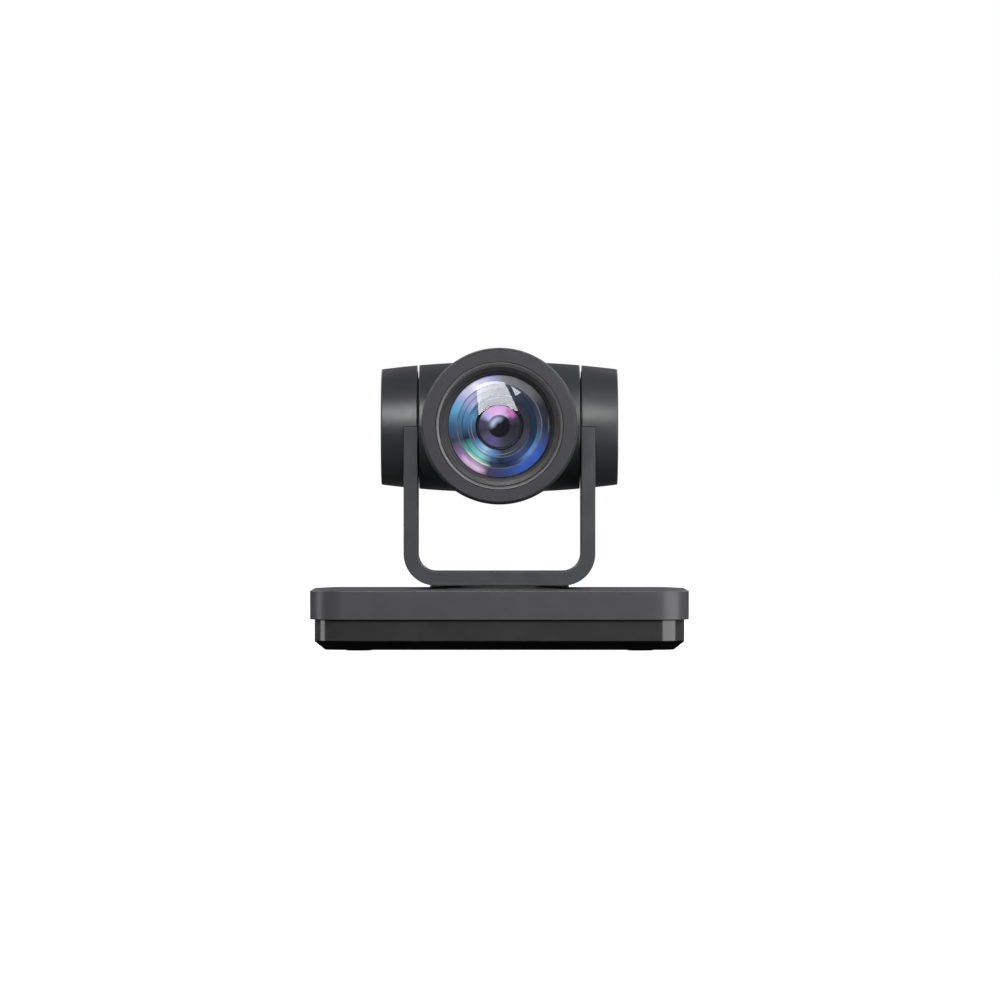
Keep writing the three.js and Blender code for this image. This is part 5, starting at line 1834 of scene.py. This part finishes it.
@dataclass
class Head:
    """The tilting head: two shells, the hubs with their collars, and the vents at the back."""

    drum: Drum = field(default_factory=Drum)
    half: float = 45.0
    wall: float = 2.4
    front_y: float = -50.2
    front_radius: float = 43.5
    rear_y: float = 42.0
    rear_radius: float = 37.0
    rear_corner: float = 12.0
    hub_hole: float = 12.3
    recess_radius: float = 28.1
    recess_depth: float = 1.2
    vent_rows: int = 5
    vent_pitch: float = 6.4
    vent_half: tuple[float, float] = (14.0, 1.2)
    gap: float = 0.3
    screw: CrossScrew = field(default_factory=lambda: CrossScrew(1.7, 0.5))
    screw_depth: float = 0.8
    screw_places: tuple[tuple[float, float], ...] = tuple((x, rise) for x in (-19, 19) for rise in (-12, 12))

    def build(self) -> None:
        """Build the shells, the hubs and the screws at the back."""
        self.shells()
        self.hubs()
        self.rear_screws()

    def _form(self, offset: float, segments: int) -> Workpiece:
        """Return the head's outer form, moved inwards by a negative offset.

        Args:
            offset: How far outside the form the surface lies, in millimetres.
            segments: Number of faces round the form.

        Returns:
            The drum and the can, welded.
        """
        half = self.half + (offset - 0.4 if offset else 0.0)
        edge = 0.0 if offset else 0.6
        line = self.drum.line(-half, half, offset, 24)
        line = [(*line[0], edge), *line[1:-1], (*line[-1], edge)]
        drum = Workpiece.turned("drum", Axis.X, [(0.0, -half), *line, (0.0, half)], LENS_CENTRE, segments)
        front = self.front_y - 1 if offset else self.front_y
        rear, rear_radius = self.rear_y + offset, self.rear_radius + offset
        can: list[ProfilePoint] = [(0.0, front), (self.front_radius + offset, front, 0.0 if offset else 0.5)]
        can += [(self.front_radius + offset, self.front_y + 8, 3.0), (41.4 + offset, -20.0, 6.0)]
        can += [(39.4 + offset, 6.0, 8.0), (rear_radius, rear, self.rear_corner), (0.0, rear)]
        return drum.weld(Workpiece.turned("can", Axis.Y, can, LENS_CENTRE, segments, steps=10))

    def shells(self) -> None:
        """Make the two shells, which meet at the height of the tilt axis."""
        z = LENS_CENTRE[2]
        shell = self._form(0.0, 144).clean().cut(self._form(-self.wall, 96))
        shell.cut(Workpiece.bar("hubs", Axis.X, self.hub_hole, (-60, 60), LENS_CENTRE, 64))
        for side in (-1, 1):
            ends = tuple(sorted((side * (self.half - self.recess_depth), side * (self.half + 1))))
            shell.cut(Workpiece.bar("recess", Axis.X, self.recess_radius, ends, LENS_CENTRE, 128))
        for row in range(self.vent_rows):
            middle = z + (row - (self.vent_rows - 1) / 2) * self.vent_pitch
            slot = Workpiece.beam("vent", (0, 0, middle), self.vent_half, (self.rear_y - 4, self.rear_y + 4))
            shell.cut(slot.bevel(edges_along(Axis.Y), 1.19, 6))
        for x, rise in self.screw_places:
            sink = (self.rear_y - self.screw_depth, self.rear_y + 1)
            shell.cut(Workpiece.bar("sink", Axis.Y, self.screw.radius + 0.3, sink, (x, 0, z + rise), 48))
        shell.clean()
        lower = shell.copy("head_lower_shell")
        gap = self.gap / 2
        shell.obj.name = "head_upper_shell"
        shell.cut(Workpiece.block("below", (-80, -80, z - 80), (80, 80, z + gap)))
        lower.cut(Workpiece.block("above", (-80, -80, z - gap), (80, 80, z + 80)))
        shell.clean().fit("head", "head_shell", HEAD_PAINT, "head_top_shell", smooth=30)
        lower.clean().fit("head", "head_shell", HEAD_PAINT, "head_bottom_shell", smooth=30)

    def hubs(self) -> None:
        """Make the two hubs, each with the black collar that fills the slot beside the drum."""
        low, high = span("tilt_hub_right")
        bore, boss, shaft, collar = 4.5, 12.0, 7.0, (high.y - low.y) / 2
        collar_in, collar_out = self.half - self.recess_depth + self.gap, 45.35
        profile: list[ProfilePoint] = [(bore, low.x, 0.3), (boss, low.x, 0.4), (boss, collar_in)]
        profile += [(collar, collar_in), (collar, collar_out, 0.3), (shaft, collar_out), (shaft, high.x, 0.5)]
        profile += [(bore, high.x, 0.3)]
        hub = Workpiece.turned("right_hub", Axis.X, profile, LENS_CENTRE, 96)
        other = hub.mirrored("left_hub")
        for piece, node in ((hub, "tilt_hub_right"), (other, "tilt_hub_left")):
            edge = (collar - 4) * MM
            centre = Vector(LENS_CENTRE) * MM
            piece.paint(COLLAR_BLACK, lambda p: (Vector((0, *p.center[1:])) - centre).length > edge)
            piece.fit("head", "machined", HUB_METAL, node)

    def rear_screws(self) -> None:
        """Fit four sunk screws round the vents."""
        for i, (x, rise) in enumerate(self.screw_places, 1):
            seat = (x, self.rear_y - self.screw_depth, LENS_CENTRE[2] + rise)
            self.screw.build(f"head_screw_{i}", seat, 1, Axis.Y).fit("head", "steel", ROUND_STEEL)


# ---------------------------------------------------------------------- lens


@dataclass
class FrontRings:
    """The wide ring, the bright bead and the stepped baffle round the front glass.

    The steps are the baffle's edges from the glass outwards: radius, and depth behind the wide ring's front.
    """

    chamfer: float = 0.9
    steps: tuple[tuple[float, float], ...] = (
        (28.7, 4.6),
        (29.3, 4.3),
        (29.6, 3.5),
        (30.8, 3.0),
        (30.9, 2.3),
        (31.6, 2.2),
        (31.7, 1.9),
        (32.2, 1.85),
        (32.3, 1.5),
        (32.7, 1.45),
        (32.8, 1.25),
    )

    def build(self) -> None:
        """Build the three rings."""
        low, high = span("front_bezel")
        front, back, radius = low.y, high.y, (high.x - low.x) / 2
        trim_low, trim_high = span("trim_ring")
        bead = (trim_high.x - trim_low.x) / 2
        face = bead + 0.3
        ring: list[ProfilePoint] = [(face, front, 0.2), (radius - self.chamfer, front, 0.15)]
        ring += [(radius, front + self.chamfer, 0.25), (radius, back, 0.2), (31.5, back), (31.5, back - 1.4)]
        ring += [(face, back - 1.4)]
        bezel = Workpiece.turned("front_ring", Axis.Y, ring, LENS_CENTRE, 192)
        bezel.fit("head", "bezel_grey", RING_GREY, "front_bezel", smooth=25)

        trim: list[ProfilePoint] = [(33.6, front + 1.3), (bead - 0.9, front + 0.9, 0.3)]
        trim += [(bead - 0.5, trim_low.y, 0.25), (bead, trim_low.y, 0.25), (bead, trim_high.y)]
        trim += [(33.6, trim_high.y)]
        made = Workpiece.turned("bright_bead", Axis.Y, trim, LENS_CENTRE, 192)
        made.fit("head", "trim_metal", TRIM, "trim_ring")

        step_low, step_high = span("lens_baffle")
        outer = (step_high.x - step_low.x) / 2
        steps: list[ProfilePoint] = [(outer, front + 1.25, 0.1), (outer, step_high.y), (28.7, step_high.y)]
        steps += [(radius, front + depth, 0.1) for radius, depth in self.steps]
        baffle = Workpiece.turned("stepped_baffle", Axis.Y, steps, LENS_CENTRE, 192, steps=2)
        baffle.fit("head", "black_plastic", STEP_BLACK, "lens_baffle", smooth=20)


@dataclass
class Lens:
    """The lens: the domed front glass, the tube behind it and the sliding zoom cell."""

    sag: float = 5.4
    edge_y: float = -52.2
    radius: float = 28.4
    rear_y: float = -49.6
    bulge: float = 1.2
    trap_pitch: float = 1.1
    rod_radius: float = 1.0
    rod_circle: float = 14.6

    def build(self) -> None:
        """Build the glass, the tube and the zoom cell."""
        self.glass()
        self.tube()
        self.zoom_cell()

    def glass(self) -> None:
        """Make the domed front glass, with reflections painted on its coating."""
        arch = [(self.radius * i / 24, self.edge_y - self.sag * (1 - (i / 24) ** 2)) for i in range(25)]
        profile: list[ProfilePoint] = [*arch, (self.radius, self.rear_y, 0.3), (0.0, self.rear_y)]
        glass = Workpiece.turned("front_lens", Axis.Y, profile, LENS_CENTRE, 192)
        glass.fit("head", "coated_glass", FRONT_GLASS, "front_glass")

    def tube(self) -> None:
        """Make the lens tube, with the light traps in its bore and the stepped stop behind the glass."""
        low, high = span("lens_barrel")
        front = low.y
        profile: list[ProfilePoint] = [(31.2, front, 0.2), (31.2, front + 2.2), (25.4, front + 4.2, 0.5)]
        profile += [(25.4, high.y, 0.3), (23.4, high.y, 0.2)]
        place = high.y - 1.0
        while place > front + 7.0:
            profile += [(23.9, place - 0.2), (23.3, place - 0.9)]
            place -= self.trap_pitch
        profile += [(23.4, front + 5.0), (17.4, front + 3.6), (15.9, front + 3.4), (15.7, front + 3.1, 0.1)]
        profile += [(17.3, front + 2.3, 0.1), (17.5, front + 1.6, 0.1), (23.3, front + 0.3, 0.15)]
        profile += [(23.6, front, 0.15)]
        tube = Workpiece.turned("lens_tube", Axis.Y, profile, LENS_CENTRE, 144)
        tube.fit("head", "black_plastic", TUBE_BLACK, "lens_barrel", smooth=25)

    def zoom_cell(self) -> None:
        """Make the zoom cell and its coated glass, with the dark pupil painted on the glass's middle as shade.
        """
        start, end = -42.0, -36.0
        ring: list[ProfilePoint] = [(11.7, start + 0.4, 0.1), (12.1, start, 0.2), (12.6, start, 0.2)]
        ring += [(12.6, end, 0.3), (11.7, end, 0.2)]
        cell = Workpiece.turned("zoom_cell", Axis.Y, ring, LENS_CENTRE, 96)
        reach, middle = self.rod_circle + 2.6, LENS_CENTRE[2]
        for turn in (45, 225):
            ear = Workpiece.block("ear", (12.0, start + 0.6, middle - 2.6), (reach, end - 0.6, middle + 2.6))
            ear.bevel(edges_along(Axis.Y), 1.0, 4)
            ear.swing(-turn, Axis.Y, LENS_CENTRE)
            x = self.rod_circle * math.cos(math.radians(turn))
            z = middle + self.rod_circle * math.sin(math.radians(turn))
            hole = Workpiece.bar("hole", Axis.Y, self.rod_radius + 0.3, (start - 1, end + 1), (x, 0, z), 32)
            cell.weld(ear).cut(hole)
        cell.clean().fit("zoom_lens", "black_plastic", STEP_BLACK, "zoom_group")
        dome = [(11.6 * i / 16, start + 0.35 - self.bulge * (1 - (i / 16) ** 2)) for i in range(17)]
        element = [*dome, (11.6, end - 0.4, 0.2), (0.0, end - 0.8)]
        glass = Workpiece.turned("zoom_lens_glass", Axis.Y, element, LENS_CENTRE, 128)
        glass.fit("zoom_lens", "coated_glass", ZOOM_GLASS)


T = PaintedReflectionTint
# The front glass's rings are painted reflections of the studio round the lens, and they glow a little.
FRONT_GLASS = Coated(
    "front glass coating",
    (0.01, 0.01, 0.015),
    0.02,
    0.0,
    centre=LENS_CENTRE,
    front=-50.6,
    haze=0.05,
    rings=(
        PaintedReflectionRing(
            13.2,
            17.5,
            (
                (0, T.INK), (60, T.INK), (128, T.SLATE), (146, T.STEEL), (160, T.BLUE), (178, T.STEEL),
                (202, T.SLATE), (218, T.AZURE), (238, T.SKY), (256, T.AZURE), (276, T.SLATE),
                (340, T.SLATE), (360, T.INK),
            ),
            strength=0.85,
            edge=1.2,
        ),
        PaintedReflectionRing(
            17.5,
            20.7,
            (
                (0, T.NAVY), (30, T.NAVY), (90, T.SLATE), (118, T.ASH), (140, T.LILAC), (158, T.BLUE),
                (180, T.STEEL), (200, T.NAVY), (218, T.TEAL), (238, T.AQUA), (256, T.STEEL), (270, T.NAVY),
                (312, T.INDIGO), (340, T.NAVY), (360, T.NAVY),
            ),
            edge=1.0,
        ),
        PaintedReflectionRing(
            20.7,
            23.4,
            (
                (0, T.SLATE), (35, T.INK), (80, T.SLATE), (100, T.ASH), (140, T.LILAC), (158, T.BLUE),
                (180, T.STEEL), (200, T.SLATE), (216, T.TEAL), (238, T.AQUA), (256, T.SLATE), (280, T.NAVY),
                (298, T.INDIGO), (318, T.AZURE), (342, T.STEEL), (360, T.SLATE),
            ),
            edge=0.9,
        ),
        PaintedReflectionRing(
            23.5,
            28.4,
            (
                (0, T.INK), (24, T.INK), (44, T.SMOKE), (84, T.ASH), (102, T.LILAC), (122, T.PEARL),
                (142, T.LILAC), (156, T.CYAN), (178, T.STEEL), (198, T.SLATE), (218, T.MAUVE),
                (238, T.ROSE), (256, T.DUSK), (276, T.INDIGO), (298, T.COBALT), (324, T.COBALT),
                (342, T.INDIGO), (360, T.INK),
            ),
            edge=0.5,
        ),
    ),
    # Painted reflections in pink and pale yellow, then thin painted highlights on the edges at 23.5, 17.4 and
    # 15.7 mm.
    painted_glints=(
        PaintedGlint(25.2, 27.8, 226, 244, (0.86, 0.62, 0.88), 0.95, fade=12, edge=2.0),
        PaintedGlint(22.2, 23.6, 224, 248, (0.82, 0.86, 0.66), 0.9, fade=12, edge=1.0),
        PaintedGlint(23.2, 23.7, 0, 360, (0.17, 0.21, 0.30), 0.6, edge=0.3),
        PaintedGlint(17.2, 17.6, 60, 330, (0.22, 0.30, 0.44), 0.55, edge=0.3, fade=20),
        PaintedGlint(15.5, 15.85, 90, 300, (0.22, 0.28, 0.42), 0.5, edge=0.3, fade=20),
    ),
)
# The zoom glass's ring is a painted reflection that glows strongly: painted light.
ZOOM_GLASS = Coated(
    "zoom glass coating",
    (0.030, 0.018, 0.045),
    0.05,
    0.0,
    centre=LENS_CENTRE,
    front=-41.5,
    haze=0.92,
    glow=0.85,
    rim_index=1.12,
    rings=(
        PaintedReflectionRing(
            6.3,
            12.2,
            (
                (0, T.SOOT), (40, T.DUSK), (56, T.ROSE), (90, T.ORCHID), (122, T.ORCHID), (144, T.LILAC),
                (162, T.DUSK), (195, T.INK), (220, T.DUSK), (242, T.PLUM), (264, T.DUSK), (292, T.INK),
                (360, T.SOOT),
            ),
            strength=1.0,
            edge=1.0,
        ),
    ),
    # A painted pink reflection, the pupil painted black as painted shade, a painted highlight on the pupil,
    # and a dark violet ring at the rim.
    painted_glints=(
        PaintedGlint(8.2, 11.0, 40, 58, (0.60, 0.15, 0.42), 1.0, fade=14, edge=2.4),
        PaintedGlint(0.0, 6.0, 0, 360, (0.003, 0.003, 0.004), 1.0, edge=0.3),
        PaintedGlint(2.8, 5.3, 96, 162, (0.42, 0.48, 0.68), 1.0, fade=48, edge=3.6),
        PaintedGlint(11.9, 12.3, 0, 360, (0.09, 0.06, 0.16), 0.8, edge=0.4),
    ),
)


# ---------------------------------------------------------------------- inside


@dataclass
class Insides:
    """Finishes for the working parts inside, which keep the frame's own shapes."""

    dresses: tuple[tuple[Finish, tuple[str, ...]], ...] = (
        (PLATE_STEEL, ("pan_plate",)),
        (ROUND_STEEL, ("pan_bearing", "pan_motor", "tilt_bearing_left", "tilt_bearing_right", "tilt_motor")),
        (ROUND_STEEL, ("zoom_screw", "focus_screw", "zoom_motor", "focus_motor")),
        (BRASS, ("pan_pinion", "tilt_pinion")),
        (ACETAL, ("pan_gear", "tilt_gear")),
        (HUB_METAL, ("pan_shaft",)),
        (FIN_METAL, ("heat_sink",)),
        (MAIN_BOARD, ("main_board",)),
        (PAN_BOARD, ("pan_sensor",)),
        (TILT_BOARD, ("tilt_sensor",)),
        (IMAGE_BOARD, ("sensor_board",)),
        (CABLE, ("ribbon_cable",)),
        (TUBE_BLACK, ("lens_chassis", "ir_receiver")),
        (INNER_GLASS, ("focus_group", "ir_cut_filter")),
    )

    def build(self) -> None:
        """Dress every node that is left as it is."""
        for finish, nodes in self.dresses:
            for node in nodes:
                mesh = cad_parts[node].data
                mesh.materials.clear()
                mesh.materials.append(finish.material())
                log.info("%s: dressed in %s", node, finish.name)


# ---------------------------------------------------------------------- studio


@dataclass
class LightPanel:
    """A flat studio light, given by the directions of its corners as seen from the camera's lens.

    Each corner is an azimuth and an elevation in degrees: azimuth 0 is straight in front of the lens and 90
    is to the right of someone who faces it.
    """

    name: str
    corners: tuple[tuple[float, float], ...]
    distance: float
    strength: float

    def build(self, centre: Vector) -> None:
        """Hang the panel, hidden from the eye and facing the camera.

        Args:
            centre: The point that its directions are measured from, in metres.
        """
        ways = []
        for azimuth, elevation in self.corners:
            turn, rise = math.radians(azimuth), math.radians(elevation)
            level = math.cos(rise)
            ways.append(Vector((math.sin(turn) * level, -math.cos(turn) * level, math.sin(rise))))
        middle = sum(ways, Vector()).normalized()
        bpy.ops.object.select_all(action="DESELECT")
        bpy.ops.mesh.primitive_circle_add(vertices=len(ways), radius=0.1, fill_type="NGON")
        panel = bpy.context.object
        panel.name = self.name
        for vertex, way in zip(panel.data.vertices, ways):
            vertex.co = centre + way * (self.distance / way.dot(middle))
        sheet = NodeSheet(self.name)
        glow = sheet.add("ShaderNodeEmission")
        sheet.feed(glow, "Color", (1.0, 1.0, 1.0, 1.0))
        sheet.feed(glow, "Strength", self.strength)
        sheet.finish_with(glow.outputs[0])
        panel.data.materials.append(sheet.material)
        panel.visible_camera = False


KEY_CORNERS = (
    (-22.0, 33.6), (-9.0, 38.2), (4.6, 37.8), (16.4, 13.6), (13.3, 13.9), (7.4, 17.8),
    (0.0, 19.2), (-7.4, 17.8), (-13.3, 13.9), (-18.0, 9.2),
)


@dataclass
class Studio:
    """Pale floor, soft lights, a pale room and the viewing camera, with distances in metres.

    The directions of the light panels start from the front of the glass, whose place is in millimetres.
    """

    distance: float = 4.0
    height: float = 0.088
    aim: tuple[float, float] = (0.0003, 0.0834)
    lens: float = 256.5
    room_low: float = 0.11
    room_high: float = 0.13
    floor_glow: float = 0.96
    glass_front: float = -55.0
    panels: tuple[LightPanel, ...] = (
        LightPanel("key panel", KEY_CORNERS, 1.5, 13.0),
        LightPanel("small key panel", ((11.2, 34.6), (20.0, 28.7), (14.8, 26.2)), 1.5, 14.0),
        LightPanel("left strip", ((-104, -14), (-104, 58), (-84, 58), (-84, -14)), 1.0, 2.1),
        LightPanel("right panel", ((43, -25), (43, 50), (88, 50), (88, -25)), 0.4, 2.6),
        LightPanel("top panel", ((-50, 62), (50, 62), (130, 62), (-130, 62)), 1.4, 0.15),
        LightPanel("rear right panel", ((130, 10), (130, 42), (166, 42), (166, 10)), 1.5, 2.6),
        LightPanel("rear middle panel", ((194, 10), (194, 42), (226, 42), (226, 10)), 1.5, 2.2),
        LightPanel("rear left panel", ((-108, 12), (-108, 44), (-132, 44), (-132, 12)), 1.5, 1.2),
    )

    def build(self) -> None:
        """Build the floor, the room, the lights and the camera."""
        self.floor()
        self.sky()
        for panel in self.panels:
            panel.build(Vector((0.0, self.glass_front, LENS_CENTRE[2])) * MM)
        self.viewer()

    def floor(self) -> None:
        """Lay the pale floor, which is lit but throws no light back."""
        bpy.ops.object.select_all(action="DESELECT")
        bpy.ops.mesh.primitive_plane_add(size=60, location=(0, 0, 0))
        plane = bpy.context.object
        plane.name = "floor"
        sheet = NodeSheet("pale floor")
        cloud = sheet.noise(sheet.place(), 900.0, 2.0)
        sockets = {
            "Base Color": sheet.blend(cloud, (0.60, 0.60, 0.60), (0.64, 0.64, 0.64)),
            "Roughness": 0.9,
            "Specular IOR Level": 0.0,
            "Emission Color": (1.0, 1.0, 1.0, 1.0),
            "Emission Strength": self.floor_glow,
        }
        plane.data.materials.append(sheet.shade(sockets))
        plane.visible_diffuse = False
        plane.visible_glossy = False

    def sky(self) -> None:
        """Make the room pale to the eye, and a dim light that is darker below than above."""
        world = bpy.data.worlds.new("room")
        bpy.context.scene.world = world
        world.use_nodes = True
        tree = world.node_tree
        tree.nodes.clear()
        kinds = ("OutputWorld", "LightPath", "MixShader", "Background", "Background")
        output, path, mix, dim, pale = (tree.nodes.new(f"ShaderNode{kind}") for kind in kinds)
        kinds = ("TexCoord", "SeparateXYZ", "MapRange")
        way, height, rise = (tree.nodes.new(f"ShaderNode{kind}") for kind in kinds)
        links = (
            (way.outputs["Generated"], height.inputs[0]),
            (height.outputs[2], rise.inputs["Value"]),
            (rise.outputs[0], dim.inputs[1]),
            (path.outputs["Is Camera Ray"], mix.inputs[0]),
            (dim.outputs[0], mix.inputs[1]),
            (pale.outputs[0], mix.inputs[2]),
            (mix.outputs[0], output.inputs[0]),
        )
        for source, socket in links:
            tree.links.new(source, socket)
        limits = {"From Min": -0.3, "From Max": 0.7, "To Min": self.room_low, "To Max": self.room_high}
        for name, value in limits.items():
            rise.inputs[name].default_value = value
        for background in (dim, pale):
            background.inputs[0].default_value = (1.0, 1.0, 1.0, 1.0)
        pale.inputs[1].default_value = 1.0

    def viewer(self) -> None:
        """Set the viewing camera and plain colour handling."""
        data = bpy.data.cameras.new("viewer")
        data.lens = self.lens
        data.sensor_width = 36.0
        data.clip_end = 100.0
        viewer = bpy.data.objects.new("viewer", data)
        viewer.location = (self.aim[0], -self.distance, self.height)
        aim = Vector((self.aim[0], 0.0, self.aim[1])) - viewer.location
        viewer.rotation_euler = aim.to_track_quat("-Z", "Y").to_euler()
        bpy.context.scene.collection.objects.link(viewer)
        bpy.context.scene.camera = viewer
        bpy.context.scene.view_settings.view_transform = "Standard"


def main() -> None:
    """Build the camera piece by piece, then the studio round it."""
    logging.basicConfig(level=logging.INFO, format="%(message)s")
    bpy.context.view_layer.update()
    for kind in (Base, RearPanel, Yoke, EndHousings, Head, FrontRings, Lens, Insides, Studio):
        log.info("building %s", kind.__name__)
        kind().build()


if __name__ == "__main__":
    main()
